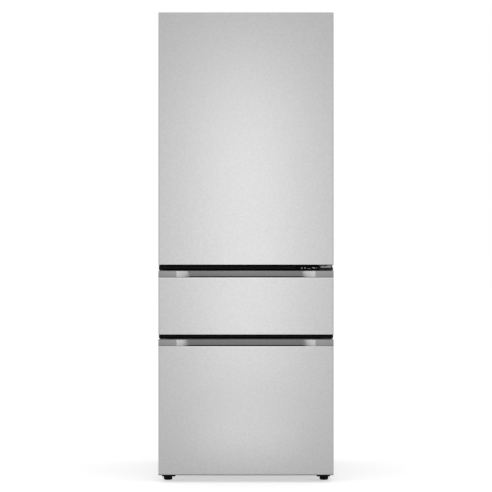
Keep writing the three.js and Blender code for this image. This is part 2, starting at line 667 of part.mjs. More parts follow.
const ductFace = roomBack - DUCT_DEPTH;
const DUCT_WALL = 2;
const DUCT_SIDE = 3; // duct cover to the side walls
const VENT_SHARES = [-0.67, -0.39, 0.39, 0.67]; // vents' middles, as shares of the half width
const VENT = { half: 32, under: [50, 70], height: 10 }; // below each bay's ceiling
const RETURN_SHARES = [-0.54, -0.18, 0.18, 0.54];
const RETURN = { half: 38, level: 14, height: 10 }; // return air, above the floor
const COIL_FAN_RADIUS = 52;
const COIL_FAN_DEPTH = 18;
const COIL_FAN_DROP = 60; // fan's middle below the upper shelf
const COIL = { half: roomSide - 94, height: 210, clear: 8, tubes: 40, out: 12 };
const SHELF_EDGE = { deep: 14, over: 4, overlap: 2 }; // moulded front edge of a shelf
const SHELF_SIDE = 3;
const bayHeight = (upperRoom.ceiling - upperRoom.floor) / (SHELF_COUNT + 1);
const shelfLevel = (index) => upperRoom.floor + bayHeight * (index + 1);
const coilFanZ = shelfLevel(SHELF_COUNT - 1) - COIL_FAN_DROP;
const motorBack = ductFace + DUCT_WALL + MOTOR_DEPTH;

function upperLiner() {
  const ribs = [];
  for (let shelf = 0; shelf < SHELF_COUNT; shelf += 1) {
    const z = shelfLevel(shelf);
    for (const side of [-1, 1]) {
      ribs.push(block(fromWall(side, -LINER / 2, RIB), [cabinetFace + SHELF_SET_BACK, ductFace - SHELF_SIDE],
        [z - RIB, z - FIT]));
    }
  }
  return join(liner(upperRoom, false), ...ribs);
}

// The air duct cover in front of the evaporator. The fan's motor is moulded to its back.
function ductCover() {
  const wide = [-roomSide + DUCT_SIDE, roomSide - DUCT_SIDE];
  const [low, high] = [upperRoom.floor + FIT, upperRoom.ceiling - FIT];
  const deep = [ductFace, roomBack - FIT];
  const through = [ductFace - 1, ductFace + DUCT_WALL + 1];
  const pieces = [
    block(wide, [ductFace, ductFace + DUCT_WALL], [low, high]),
    block(wide, deep, [low, low + DUCT_WALL]),
    block(wide, deep, [high - DUCT_WALL, high]),
    bar("y", [0, coilFanZ], MOTOR_RADIUS, [ductFace + 1, motorBack], 20),
  ];
  const bore = [motorBack - FAN_SHAFT - 1, motorBack + 1];
  const vents = [bar("y", [0, coilFanZ], SHAFT_RADIUS + TURN_GAP, bore, 12)];
  const row = (shares, { half, height }, z) => {
    for (const share of shares) {
      vents.push(block([share * roomSide - half, share * roomSide + half], through, [z, z + height]));
    }
  };
  for (let bay = 0; bay <= SHELF_COUNT; bay += 1) {
    const ceiling = upperRoom.floor + bayHeight * (bay + 1);
    for (const under of VENT.under) row(VENT_SHARES, VENT, ceiling - under);
  }
  row(RETURN_SHARES, RETURN, low + RETURN.level);
  return cut(join(...pieces), ...vents);
}

function evaporator() {
  const deep = [ductFace + DUCT_WALL + COIL.clear, roomBack - FIT];
  const low = upperRoom.floor + DUCT_WALL + 2 * FIT;
  const high = low + COIL.height;
  const pieces = [];
  for (let fin = 0; fin < FINS; fin += 1) {
    const x = -COIL.half + (2 * COIL.half * fin) / (FINS - 1);
    pieces.push(block([x - FIN / 2, x + FIN / 2], deep, [low, high]));
  }
  for (const z of [low + COIL.tubes, high - COIL.tubes]) {
    const tube = [-COIL.half - COIL.out, COIL.half + COIL.out];
    pieces.push(bar("x", [(deep[0] + deep[1]) / 2, z], COIL_TUBE, tube, 6));
  }
  return join(...pieces);
}

// Tempered plate with a moulded front edge.
function shelf(index) {
  const level = shelfLevel(index);
  const front = cabinetFace + SHELF_SET_BACK;
  const wide = [-roomSide + SHELF_SIDE, roomSide - SHELF_SIDE];
  return join(
    block(wide, [front + SHELF_EDGE.overlap, ductFace - SHELF_SIDE], [level, level + SHELF_THICK]),
    block(wide, [front, front + SHELF_EDGE.deep], [level, level + SHELF_THICK + SHELF_EDGE.over]),
  );
}

add("upper_liner", upperLiner(), whitePlastic);
add("middle_liner", liner(middleRoom, false), whitePlastic);
add("lower_liner", liner(lowerRoom, true), whitePlastic);
add("duct_cover", ductCover(), whitePlastic);
add("evaporator", evaporator(), finMetal);
const coilFanPlace = [0, motorBack + TURN_GAP, coilFanZ];
add("evaporator_fan", fan(COIL_FAN_RADIUS, COIL_FAN_DEPTH), blackPlastic, coilFanPlace);
for (let index = 0; index < SHELF_COUNT; index += 1) add(`shelf_${index + 1}`, shelf(index), clearShelf);

// ---------------------------------------------------------------- centre trims and display

const TRIM_CHAMFER = 3;
const TRIM_BASE_PAST = 2; // base beyond the hat, above and below
const WINDOW_BORDER = 3; // trim above and below the display window
const WINDOW_SIDE = 2;

// A hat section on the cabinet's face: its nose stands forward into the slot between two fronts.
function centreTrim(bottom, top, [left, right]) {
  const back = cabinetFace - FIT;
  const nose = steelFace + TRIM_SET_BACK;
  const low = bottom + TRIM_CLEAR;
  const high = top - TRIM_CLEAR;
  const outline = (wall) => [
    [back + 1, low + wall], [nose + TRIM_CHAMFER + wall, low + wall],
    [nose + wall, low + TRIM_CHAMFER + wall], [nose + wall, high - TRIM_CHAMFER - wall],
    [nose + TRIM_CHAMFER + wall, high - wall], [back + 1, high - wall],
  ];
  const hat = alongX(outline(0), [left, right]);
  const hollow = alongX(outline(TRIM_WALL), shrink([left, right], TRIM_WALL));
  const tall = [low - TRIM_BASE_PAST, high + TRIM_BASE_PAST];
  const base = block([left, right], [back - TRIM_WALL, back], tall);
  const behind = block([left - 1, right + 1], [back, back + 2], shrink(tall, -1));
  return cut(join(hat, base), hollow, behind);
}

const HINGE_WIDTH = 42;
const HINGE_OUTER = 10; // plate beyond the pin, towards the side
const TRIM_TO_HINGE = 3;
const TRIM_TO_SIDE = 1;
const hingeX = [hinge.x + HINGE_OUTER - HINGE_WIDTH, hinge.x + HINGE_OUTER];
const trimSide = caseSide - TRIM_TO_SIDE;
const upperTrimX = [-trimSide, hingeX[0] - TRIM_TO_HINGE];
const windowRight = upperTrimX[1] - TRIM_WALL - WINDOW_SIDE;
const windowX = [windowRight - WINDOW_WIDTH, windowRight];
const windowZ = shrink([middleTop, doorBottom], TRIM_CLEAR + WINDOW_BORDER);
const trimNose = steelFace + TRIM_SET_BACK;

const windowPocket = block(shrink(windowX, -FIT), [trimNose - 1, trimNose + WINDOW_THICK + FIT],
  shrink(windowZ, -FIT));
add("control_housing", cut(centreTrim(middleTop, doorBottom, upperTrimX), windowPocket), blackPlastic);
add("display_window", block(windowX, [trimNose, trimNose + WINDOW_THICK], windowZ), blackGlass);
add("lower_trim", centreTrim(lowerTop, middleBottom, [-trimSide, trimSide]), blackPlastic);

// ---------------------------------------------------------------- hinges

const plateLevel = caseTop + FIT;
const ARM_HALF = 11; // hinge arm over the door
const BASE_LEFT = 52; // hinge plate on the case, left and right of the pin
const BASE_RIGHT = 13;
const BASE_LENGTH = 62;
const BASE_BACK = 6; // plate behind the cabinet's face
const COVER_CLEAR = 1; // cover round the hinge

// The top hinge seen from above: a plate on the case, and a round-ended arm that reaches the pin.
function hingeOutline(grow) {
  const near = cabinetFace + BASE_BACK - grow;
  const far = cabinetFace + BASE_BACK + BASE_LENGTH + grow;
  const arm = ARM_HALF + grow;
  const shape = new THREE.Shape();
  shape.moveTo(hinge.x + arm, near);
  shape.lineTo(hinge.x + BASE_RIGHT + grow, near).lineTo(hinge.x + BASE_RIGHT + grow, far);
  shape.lineTo(hinge.x - BASE_LEFT - grow, far).lineTo(hinge.x - BASE_LEFT - grow, near);
  shape.lineTo(hinge.x - arm, near).lineTo(hinge.x - arm, hinge.y);
  shape.absarc(hinge.x, hinge.y, arm, Math.PI, 2 * Math.PI);
  return shape.closePath();
}

const TOP_PIN = 24;

function topHinge() {
  const plateTop = plateLevel + HINGE_PLATE;
  const plate = alongZ(hingeOutline(0), [plateLevel, plateTop]);
  const pin = bar("z", [hinge.x, hinge.y], PIN_RADIUS, [plateLevel - TOP_PIN, plateTop], PIN_SIDES);
  return join(plate, pin);
}

function hingeCover() {
  return cut(alongZ(hingeOutline(COVER_CLEAR + COVER_WALL), [plateLevel, doorTop]),
    alongZ(hingeOutline(COVER_CLEAR), [plateLevel - 1, doorTop - COVER_WALL]));
}

const MIDDLE_PIN = 14; // pin above the door's underside
const COLLAR_RADIUS = 9;
const COLLAR_HEIGHT = 6;
const PLATE_PAST = 12; // plate ahead of the pin
const PLATE_CORNER = 6;
const FLANGE_THICK = 3.5;
const FLANGE_DROP = 2; // flange below the top of the drawer's handle
const midPlateTop = doorBottom - FIT - COLLAR_HEIGHT;

function middleHinge() {
  const back = cabinetFace - FIT;
  const front = hinge.y - PLATE_PAST;
  const plate = alongZ(rectangle(hingeX, [front, back], PLATE_CORNER),
    [midPlateTop - HINGE_PLATE, midPlateTop]);
  const flangeZ = [middleTop - FLANGE_DROP, doorBottom - TRIM_CLEAR];
  const flange = block(hingeX, [back - FLANGE_THICK, back], flangeZ);
  const collar = bar("z", [hinge.x, hinge.y], COLLAR_RADIUS, [midPlateTop - 1, doorBottom - FIT], 16);
  const pinZ = [midPlateTop - 1, doorBottom + MIDDLE_PIN];
  const pin = bar("z", [hinge.x, hinge.y], PIN_RADIUS, pinZ, PIN_SIDES);
  return join(plate, flange, collar, pin);
}

add("top_hinge", topHinge(), zincSteel);
add("hinge_cover", hingeCover(), greyPlastic);
add("middle_hinge", middleHinge(), zincSteel);

// ---------------------------------------------------------------- fronts

const hemFace = frontBack - LINER;
const plugX = [-roomSide + PLUG_CLEAR, roomSide - PLUG_CLEAR];

// The space inside a front's steel, seen from above, at a distance from its outer face.
function lining(inset, back) {
  const side = halfWidth - inset;
  const front = steelFace + inset;
  const corner = SKIN_RADIUS - SHEET;
  return [
    [-side, back], [-side, front + corner], [-side + corner, front],
    [side - corner, front], [side, front + corner], [side, back],
  ];
}

// Steel of a door or drawer front: face, rounded sides and a hem folded in at the back.
function steelFront(levels) {
  const outer = new THREE.Shape();
  const corner = halfWidth - SKIN_RADIUS;
  outer.moveTo(-halfWidth, hemFace).lineTo(-halfWidth, steelFace + SKIN_RADIUS);
  outer.absarc(-corner, steelFace + SKIN_RADIUS, SKIN_RADIUS, Math.PI, 1.5 * Math.PI);
  outer.absarc(corner, steelFace + SKIN_RADIUS, SKIN_RADIUS, -Math.PI / 2, 0);
  outer.lineTo(halfWidth, hemFace).closePath();
  const past = [levels[0] - 1, levels[1] + 1];
  const inside = alongZ(lining(SHEET, hemFace - SHEET), past);
  const mouth = block([-halfWidth + HEM, halfWidth - HEM], [hemFace - 2 * SHEET, hemFace + 1], past);
  return cut(alongZ(outer, levels), inside, mouth);
}

// What fills a front's steel between two levels, round its hems and over them at the back.
function filling(levels) {
  const side = halfWidth - SHEET - FIT;
  const neck = halfWidth - HEM - FIT;
  return join(
    alongZ(lining(SHEET + FIT, hemFace - SHEET - FIT), levels),
    block([-neck, neck], [hemFace - 2 * SHEET, hemFace + LINER / 2], levels),
    block([-side, side], [hemFace + FIT, frontBack], levels),
  );
}

// Inner lining and the insulation foamed to it, with the raised plug that enters the compartment.
function innerFront(levels, room) {
  const plug = [room.floor + PLUG_CLEAR, room.ceiling - PLUG_CLEAR];
  const root = [plug[0], Math.min(plug[1], levels[1])];
  return join(
    filling(levels),
    block(plugX, [frontBack - 1, plugBack], root),
    block(plugX, [frontBack + FIT, plugBack], plug),
  );
}

// Seal: a ring in the gap between a front and the cabinet, with the groove of its bellows.
function seal({ bottom, top }) {
  const ring = (inset) => rectangle([-sealSide + inset, sealSide - inset], [bottom + inset, top - inset]);
  const whole = alongY(frame(ring(0), ring(SEAL_WIDTH)), [frontBack + FIT, cabinetFace - FIT]);
  const groove = [frontBack + SEAL_GROOVE, frontBack + 2 * SEAL_GROOVE];
  return cut(whole, alongY(frame(ring(-1), ring(SEAL_GROOVE)), groove));
}

// ---------------------------------------------------------------- upper door

const HINGE_BLOCK_SIDE = 20; // block to the left of the notch
const HINGE_BLOCK_DROP = 32; // and below it
const POCKET_SIDE = 30;
const NOTCH_SIDE = 6; // notch to the hinge cover

const notchFloor = caseTop - NOTCH_DROP;
const notchLeft = hinge.x - ARM_HALF - COVER_CLEAR - COVER_WALL - NOTCH_SIDE;
const hingeBlockLeft = notchLeft - HINGE_BLOCK_SIDE;
const hingeBlockBottom = notchFloor - HINGE_BLOCK_DROP;
const doorCapTop = doorBottom + DOOR_BOTTOM_CAP;
const notch = block([notchLeft, WIDTH], [steelFace + NOTCH_LIP, cabinetFace], [notchFloor, doorTop + 1]);

function doorTopCap() {
  const hingeBlock = block([hingeBlockLeft, halfWidth - SKIN_RADIUS - SHEET - FIT],
    [steelFace + SHEET + FIT, hemFace - SHEET - FIT], [hingeBlockBottom, doorTop]);
  const boreZ = [plateLevel - TOP_PIN - 1, doorTop];
  const bore = bar("z", [hinge.x, hinge.y], PIN_RADIUS + TURN_GAP, boreZ, PIN_SIDES);
  return cut(join(filling([notchFloor + FIT, doorTop]), hingeBlock), notch, bore);
}

function doorLiner() {
  const hingeRoom = block([hingeBlockLeft - FIT, WIDTH], [steelFace, hemFace - SHEET],
    [hingeBlockBottom - FIT, notchFloor + 1]);
  return cut(innerFront([doorCapTop + FIT, notchFloor], upperRoom), hingeRoom);
}

function doorBottomCap() {
  const pocketY = [steelFace + POCKET_LIP, steelFace + POCKET_LIP + POCKET_WIDTH];
  const pocket = block([-halfWidth + POCKET_SIDE, hinge.x - POCKET_SIDE], pocketY,
    [doorBottom - 1, doorBottom + POCKET_DEPTH]);
  const bore = bar("z", [hinge.x, hinge.y], PIN_RADIUS + TURN_GAP,
    [doorBottom - 1, doorBottom + MIDDLE_PIN + 1], PIN_SIDES);
  return cut(filling([doorBottom, doorCapTop]), pocket, bore);
}

add("upper_door_skin", cut(steelFront([doorBottom, doorTop]), notch), brushedSteel);
add("upper_door_liner", doorLiner(), whitePlastic);
add("upper_door_top_cap", doorTopCap(), greyPlastic);
add("upper_door_bottom_cap", doorBottomCap(), blackPlastic);
add("upper_door_seal", seal(upperSeal), sealRubber);

// ---------------------------------------------------------------- drawers

// Cap on a drawer's front, with the finger channel behind the handle.
function gripCap(steelTop, top) {
  const wall = [handleFace + HANDLE_FACE + FIT, handleFace + HOOK_REACH - HANDLE_WALL - FIT];
  const hookBack = handleFace + HOOK_REACH;
  const over = block([-halfWidth, halfWidth], [wall[0], frontBack], [steelTop + FIT, capLand(top)]);
  const channel = block([-halfWidth + GRIP_END, halfWidth - GRIP_END], [wall[1], hookBack + GRIP_WIDTH],
    [steelTop - GRIP_DEPTH, top + 1]);
  const hookRoom = block([-WIDTH, WIDTH], [wall[1], hookBack + FIT], [top - HOOK_DROP - FIT, top + 1]);
  return cut(join(filling([steelTop - GRIP_CAP_DEPTH, steelTop + 1]), over), channel, hookRoom);
}

// Metal handle: a strip across the whole width that hooks over the cap's front wall. Its face is scooped
// out between two upright creases. Away from them it turns downwards too, and its lower edge rises.
function handle(steelTop, top) {
  const low = steelTop + HANDLE_SHADOW;
  const wall = HANDLE_WALL;
  const edge = 0.5 * wall;
  const inside = handleFace + HANDLE_FACE;
  const back = handleFace + HOOK_REACH;
  const section = (deep, turn) => {
    const face = handleFace + deep * SCOOP_DEPTH;
    const lowFace = face + turn * SCOOP_TURN;
    const bottom = low + turn * SCOOP_LIFT;
    return [
      [lowFace, bottom], [inside, bottom], [inside, top - wall], [back - wall, top - wall],
      [back - wall, top - HOOK_DROP], [back, top - HOOK_DROP], [back, top - edge], [back - edge, top],
      [face + edge, top], [face, top - edge],
    ];
  };
  const crease = halfWidth - SCOOP_SIDE;
  const left = [[-halfWidth, section(0, 0)]];
  const steps = 10;
  for (let step = 0; step <= steps; step += 1) {
    const share = step / steps;
    left.push([share * SCOOP_RUN - crease, section(1 - (1 - share) ** 2, share ** 4)]);
  }
  return loft([...left, ...left.map(([x, points]) => [-x, points]).reverse()]);
}

const slideY = [cabinetFace + SLIDE_SET_BACK, cabinetFace + SLIDE_SET_BACK + SLIDE_LENGTH];
const memberStep = SLIDE_SHEET + SLIDE_PLAY;

// A slide's members lie inside each other: 0 is fixed to the wall, 1 is between, 2 is the drawer's.
function slideMember(side, centre, order, reach) {
  const near = FIT + order * memberStep;
  const half = SLIDE_HEIGHT / 2 - order * memberStep;
  return join(
    block(fromWall(side, near, near + SLIDE_SHEET), slideY, [centre - half, centre + half]),
    block(fromWall(side, near, reach), slideY, [centre + half - SLIDE_SHEET, centre + half]),
    block(fromWall(side, near, reach), slideY, [centre - half, centre - half + SLIDE_SHEET]),
  );
}

// The middle members of a pair of slides, tied at their rear ends so that they run together.
function slideCarrier(centre) {
  const low = centre - SLIDE_HEIGHT / 2 + memberStep;
  const web = roomSide - FIT - memberStep;
  const inside = roomSide - SLIDE_DEPTH - SLIDE_PLAY;
  return join(
    slideMember(-1, centre, 1, SLIDE_DEPTH),
    slideMember(1, centre, 1, SLIDE_DEPTH),
    block([-web, web], [slideY[1] - SYNC_BAR, slideY[1]], [low, low + SLIDE_SHEET]),
    block([-inside, inside], [slideY[1] - SLIDE_SHEET, slideY[1]], [low - SYNC_BAR, low + SLIDE_SHEET]),
  );
}

const cradleFront = plugBack + FIT;
const boxFront = cradleFront + CRADLE_SHEET + BOX_GAP;

// The sheet steel tray that hangs on the slides behind a drawer's front and holds the containers.
function cradle(room, centre, back) {
  const wallTop = centre + SLIDE_HEIGHT / 2 - 2 * memberStep;
  const floor = room.floor + CRADLE_LIFT;
  const half = roomSide - CRADLE_SIDE;
  const deep = [cradleFront, back];
  const pieces = [
    block([-half, half], deep, [floor, floor + CRADLE_SHEET]),
    block([-half, half], [cradleFront, cradleFront + CRADLE_SHEET], [floor, wallTop]),
    block([-half, half], [back - CRADLE_SHEET, back], [floor, Math.min(floor + CRADLE_BACK, wallTop)]),
  ];
  for (const side of [-1, 1]) {
    pieces.push(block(fromWall(side, CRADLE_SIDE, CRADLE_SIDE + CRADLE_SHEET), deep, [floor, wallTop]));
    pieces.push(slideMember(side, centre, 2, CRADLE_SIDE + CRADLE_SHEET / 2));
  }
  const tray = join(...pieces);
  const windowZ = [floor + WINDOW_EDGE, centre - SLIDE_HEIGHT / 2 - WINDOW_EDGE];
  if (windowZ[1] <= windowZ[0]) return tray;
  return cut(tray, block([-halfWidth, halfWidth], [cradleFront + WINDOW_EDGE, back - WINDOW_EDGE], windowZ));
}

const boxSide = roomSide - CRADLE_SIDE - CRADLE_SHEET - BOX_GAP;
const boxX = (side) => (side < 0 ? [-boxSide, -BOX_GAP / 2] : [BOX_GAP / 2, boxSide]);

// The space of a drawer's containers: y from the front, and z from their floor to their rim.
function boxSpace(room, cradleBack, headroom) {
  return {
    y: [boxFront, cradleBack - CRADLE_SHEET - BOX_GAP],
    z: [room.floor + CRADLE_LIFT + CRADLE_SHEET + FIT, room.ceiling - headroom],
  };
}

function container(side, { y, z: [floor, rim] }) {
  return cut(block(boxX(side), y, [floor, rim]),
    block(shrink(boxX(side), BOX_WALL), shrink(y, BOX_WALL), [floor + BOX_WALL, rim + 1]));
}

function lid(side, { y, z: [, rim] }) {
  const seat = rim + FIT;
  const ringOf = (inset, levels) => block(shrink(boxX(side), inset), shrink(y, inset), levels);
  const skirt = [seat - LID_SKIRT, seat + 1];
  const inside = BOX_WALL + FIT;
  return join(
    block(boxX(side), y, [seat, seat + LID_PLATE]),
    cut(ringOf(inside, skirt), ringOf(inside + LID_SKIRT_WALL, shrink(skirt, -1))),
    ringOf(LID_BORDER, [seat + LID_PLATE - 1, seat + LID_PLATE + LID_RISE]),
  );
}

function addDrawer(name, { bottom, steelTop, top, room, seals, slideLevel, cradleBack, headroom }) {
  const centre = room.floor + slideLevel;
  const space = boxSpace(room, cradleBack, headroom);
  add(`${name}_drawer_skin`, steelFront([bottom, steelTop]), brushedSteel);
  add(`${name}_drawer_liner`, innerFront([bottom, steelTop - GRIP_CAP_DEPTH - FIT], room), whitePlastic);
  add(`${name}_grip_cap`, gripCap(steelTop, top), blackPlastic);
  add(`${name}_handle`, handle(steelTop, top), handleMetal);
  add(`${name}_drawer_seal`, seal(seals), sealRubber);
  add(`${name}_cradle`, cradle(room, centre, cradleBack), zincSteel);
  add(`${name}_slide_carrier`, slideCarrier(centre), springSteel);
  for (const [word, side] of [["left", -1], ["right", 1]]) {
    add(`${name}_slide_${word}`, slideMember(side, centre, 0, SLIDE_DEPTH), springSteel);
    add(`${name}_container_${word}`, container(side, space), containerPlastic);
    add(`${name}_lid_${word}`, lid(side, space), lidPlastic);
  }
}

addDrawer("middle", {
  bottom: middleBottom, steelTop: middleSteelTop, top: middleTop, room: middleRoom, seals: middleSeal,
  slideLevel: MIDDLE_SLIDE_LEVEL, cradleBack: slideY[1] - SYNC_BAR - CRADLE_TO_BAR, headroom: MIDDLE_HEADROOM,
});
addDrawer("lower", {
  bottom: lowerBottom, steelTop: lowerSteelTop, top: lowerTop, room: lowerRoom, seals: lowerSeal,
  slideLevel: LOWER_SLIDE_LEVEL, cradleBack: stepFront - CRADLE_TO_STEP, headroom: LOWER_HEADROOM,
});

export default part;
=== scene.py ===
import json
import math

import bmesh
import bpy
from mathutils import Matrix, Vector


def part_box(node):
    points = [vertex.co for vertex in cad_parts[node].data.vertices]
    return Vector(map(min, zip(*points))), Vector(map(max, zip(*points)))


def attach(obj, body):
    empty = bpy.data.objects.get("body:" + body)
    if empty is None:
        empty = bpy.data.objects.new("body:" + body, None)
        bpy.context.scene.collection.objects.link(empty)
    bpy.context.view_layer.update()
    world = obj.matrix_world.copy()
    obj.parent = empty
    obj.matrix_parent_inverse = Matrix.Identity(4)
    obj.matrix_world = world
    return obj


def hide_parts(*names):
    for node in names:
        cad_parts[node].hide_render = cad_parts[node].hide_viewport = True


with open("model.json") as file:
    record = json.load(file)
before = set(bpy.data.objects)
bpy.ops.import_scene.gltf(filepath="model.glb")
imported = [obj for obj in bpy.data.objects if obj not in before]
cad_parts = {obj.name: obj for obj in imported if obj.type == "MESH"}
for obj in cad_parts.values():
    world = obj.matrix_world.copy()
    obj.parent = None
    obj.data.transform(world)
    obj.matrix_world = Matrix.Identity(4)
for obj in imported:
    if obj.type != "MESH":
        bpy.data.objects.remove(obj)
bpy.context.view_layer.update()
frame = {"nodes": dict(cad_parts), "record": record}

MM = 0.001
nodes = frame["nodes"]
body_of_node = {node: body for body, names in frame["record"]["behaviour"]["bodies"].items() for node in names}


# ---------------------------------------------------------------- shader wiring

class Wire:
    """A number, colour or vector on its way through a finish's nodes."""

    def __init__(self, finish, socket):
        self.finish = finish
        self.socket = socket

    def maths(self, operation, *values):
        return self.finish.node("ShaderNodeMath", {"operation": operation}, dict(enumerate(values)))

    def __add__(self, other):
        return self.maths("ADD", self, other)

    def __sub__(self, other):
        return self.maths("SUBTRACT", self, other)

    def __rsub__(self, other):
        return self.maths("SUBTRACT", other, self)

    def __mul__(self, other):
        return self.maths("MULTIPLY", self, other)

    def __truediv__(self, other):
        return self.maths("DIVIDE", self, other)

    __radd__ = __add__
    __rmul__ = __mul__

    def above(self, level):
        return self.maths("GREATER_THAN", self, level)

    def below(self, level):
        return self.maths("LESS_THAN", self, level)

    def size(self):
        return self.maths("ABSOLUTE", self)


class Finish:
    """A procedural material: one Principled shader, and what varies over the surface wired into it."""

    def __init__(self, name, **constants):
        self.material = bpy.data.materials.new(name)
        self.material.use_nodes = True
        self.tree = self.material.node_tree
        self.tree.nodes.clear()
        self.shader = self.tree.nodes.new("ShaderNodeBsdfPrincipled")
        self.output = self.tree.nodes.new("ShaderNodeOutputMaterial")
        self.tree.links.new(self.shader.outputs[0], self.output.inputs["Surface"])
        self.place = self.node("ShaderNodeTexCoord", output="Object")
        self.set(**constants)

    def plug(self, socket, value):
        if isinstance(value, Wire):
            self.tree.links.new(value.socket, socket)
        elif isinstance(value, (tuple, list)) and socket.type == "RGBA" and len(value) == 3:
            socket.default_value = (*value, 1.0)
        else:
            socket.default_value = value

    def node(self, kind, settings=None, inputs=None, output=0):
        """Any node: its settings first, a ramp's stops among them, then the values or links of its sockets."""
        node = self.tree.nodes.new(kind)
        for name, value in (settings or {}).items():
            if name == "stops":
                ramp = node.color_ramp.elements
                while len(ramp) < len(value):
                    ramp.new(0.5)
                for stop, (position, shade) in zip(ramp, value):
                    stop.position = position
                    stop.color = (shade, shade, shade, 1.0)
            else:
                setattr(node, name, value)
        for name, value in (inputs or {}).items():
            self.plug(node.inputs[name], value)
        return Wire(self, node.outputs[output])

    def set(self, **values):
        """Sets or wires the Principled shader's own sockets, such as base_color."""
        for name, value in values.items():
            self.plug(self.shader.inputs[name.replace("_", " ").title().replace("Ior", "IOR")], value)
        return self

    def stretched(self, scale):
        return self.node("ShaderNodeMapping", {"vector_type": "POINT"}, {"Vector": self.place, "Scale": scale})

    def noise(self, scale, detail=2.0, roughness=0.5, stretch=None):
        where = self.stretched(stretch) if stretch else self.place
        return self.node("ShaderNodeTexNoise", None,
                         {"Vector": where, "Scale": scale, "Detail": detail, "Roughness": roughness})

    def along(self, axis):
        """The place along X, Y or Z, in metres."""
        return self.node("ShaderNodeSeparateXYZ", None, {"Vector": self.place}, output=axis)

    def blend(self, factor, first, second):
        """From the first colour to the second as factor goes from 0 to 1."""
        return self.node("ShaderNodeMix", {"data_type": "RGBA"}, {0: factor, 6: first, 7: second}, output=2)

    def ramp(self, value, *stops):
        return self.node("ShaderNodeValToRGB", {"stops": stops}, {"Fac": value})

    def bump(self, height, distance, strength=1.0, normal=None):
        inputs = {"Height": height, "Distance": distance, "Strength": strength}
        if normal:
            inputs["Normal"] = normal
        return self.node("ShaderNodeBump", None, inputs)


def shade(value, tint=(1.0, 1.0, 1.0)):
    return tuple(value * part for part in tint)


# ---------------------------------------------------------------- finishes

# Steel's variations: how many waves a metre each has, and how much of the tone it makes.
HAIRLINE_SCALE, HAIRLINE_SHARE = 900.0, 0.03
SPARKLE_SCALE, SPARKLE_SHARE = 2600.0, 0.014
CLOUD_SCALE, CLOUD_SHARE = 2.2, 0.014
MOTTLE_SCALE = 145.0
EVEN_SHARE = 1.0 - (HAIRLINE_SHARE + SPARKLE_SHARE + CLOUD_SHARE) / 2  # keeps the mean tone at 1


def stainless(name, level, roughness, grain=0.00002, mottled=0.19, varied=None):
    """Satin stainless sheet: hairlines along X, a fine sparkle, a mottle about 7 mm wide, and the slow
    cloudiness of rolling. What varied gives for a place multiplies the level."""
    finish = Finish(name, metallic=1.0)
    hairline = finish.noise(HAIRLINE_SCALE, 3.0, 0.65, stretch=(0.03, 1.0, 1.0))
    sparkle = finish.noise(SPARKLE_SCALE, 1.0)
    mottle = finish.noise(MOTTLE_SCALE, 1.0, stretch=(0.75, 1.0, 1.0)) - 0.5
    cloud = finish.noise(CLOUD_SCALE)
    tone = (hairline * HAIRLINE_SHARE + sparkle * SPARKLE_SHARE + cloud * CLOUD_SHARE + mottle * mottled
            + EVEN_SHARE) * level
    finish.set(
        base_color=tone * varied(finish) if varied else tone,
        roughness=roughness * 0.88 + cloud * (roughness * 0.1) + hairline * (roughness * 0.14),
        normal=finish.bump(hairline + sparkle * 0.35, grain),
    )
    return finish.material


PAINTED_HIGHLIGHT_GAIN = 0.2  # how much brighter a painted highlight makes a front's upper edge
PAINTED_SHADE_LOSS = 0.92  # how much darker painted shade makes its lower edge, where it turns under


def painted_edge_bands(node, shade_band, highlight_band):
    """How a front's tone varies: a painted highlight along its upper edge, and painted shade along its lower one.
    """
    low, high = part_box(node)

    def varied(finish):
        height = finish.along(2)
        # A painted highlight along the upper edge, and painted shade along the lower one.
        painted_highlight = height.above(high.z - highlight_band) * PAINTED_HIGHLIGHT_GAIN
        return painted_highlight - height.below(low.z + shade_band) * PAINTED_SHADE_LOSS + 1.0

    return varied


# How far from a handle's middle its painted reflection begins and ends to change, and the tone on either side of
# that.
PAINTED_REFLECTION_PLACES = (0.212, 0.258)
PAINTED_REFLECTION_LEVELS = (0.8, 1.12)
PAINTED_LIGHT_RISE = 8.0  # how much painted light pales it for each metre of height


def handle_painted_light(node):
    """A handle of satin metal with painted reflection: its scooped middle a little darker than its ends, with a
    soft change over each slope, and painted light that pales it towards its upper edge."""
    low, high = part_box(node)
    middle = (low.z + high.z) / 2

    def varied(finish):
        # Painted reflection: darker in the scooped middle, brighter at the ends.
        painted_reflection = finish.node("ShaderNodeMapRange", None, {
            "Value": finish.along(0).size(), "From Min": PAINTED_REFLECTION_PLACES[0], "From Max": PAINTED_REFLECTION_PLACES[1],
            "To Min": PAINTED_REFLECTION_LEVELS[0], "To Max": PAINTED_REFLECTION_LEVELS[1]})
        # Painted light makes it paler towards the upper edge.
        return painted_reflection * ((finish.along(2) - middle) * PAINTED_LIGHT_RISE + 1.0)

    return varied


def painted(name, level, roughness=0.42, peel=0.00003):
    """Powder coat: orange peel and a faint variation in gloss."""
    finish = Finish(name)
    orange_peel = finish.noise(420.0, 2.0)
    cloud = finish.noise(3.0, 2.0)
    finish.set(
        base_color=finish.blend(cloud, shade(level * 0.96), shade(level * 1.03)),
        roughness=orange_peel * 0.08 + (roughness - 0.04),
        normal=finish.bump(orange_peel, peel),
    )
    return finish.material


def galvanised(name, level, roughness=0.38):
    """Zinc coated sheet: pale and dark crystals about 12 mm across with soft edges."""
    finish = Finish(name, metallic=0.85)
    spangle = finish.node("ShaderNodeTexVoronoi", {"feature": "SMOOTH_F1"},
                          {"Vector": finish.place, "Scale": 85.0, "Smoothness": 0.3}, output="Color")
    crystal = finish.node("ShaderNodeSeparateColor", None, {"Color": spangle})
    fine = finish.noise(700.0, 2.0)
    finish.set(
        base_color=finish.blend(crystal, shade(level * 0.88), shade(level * 1.08)),
        roughness=crystal * 0.12 + fine * 0.06 + (roughness - 0.08),
        normal=finish.bump(fine, 0.00002),
    )
    return finish.material


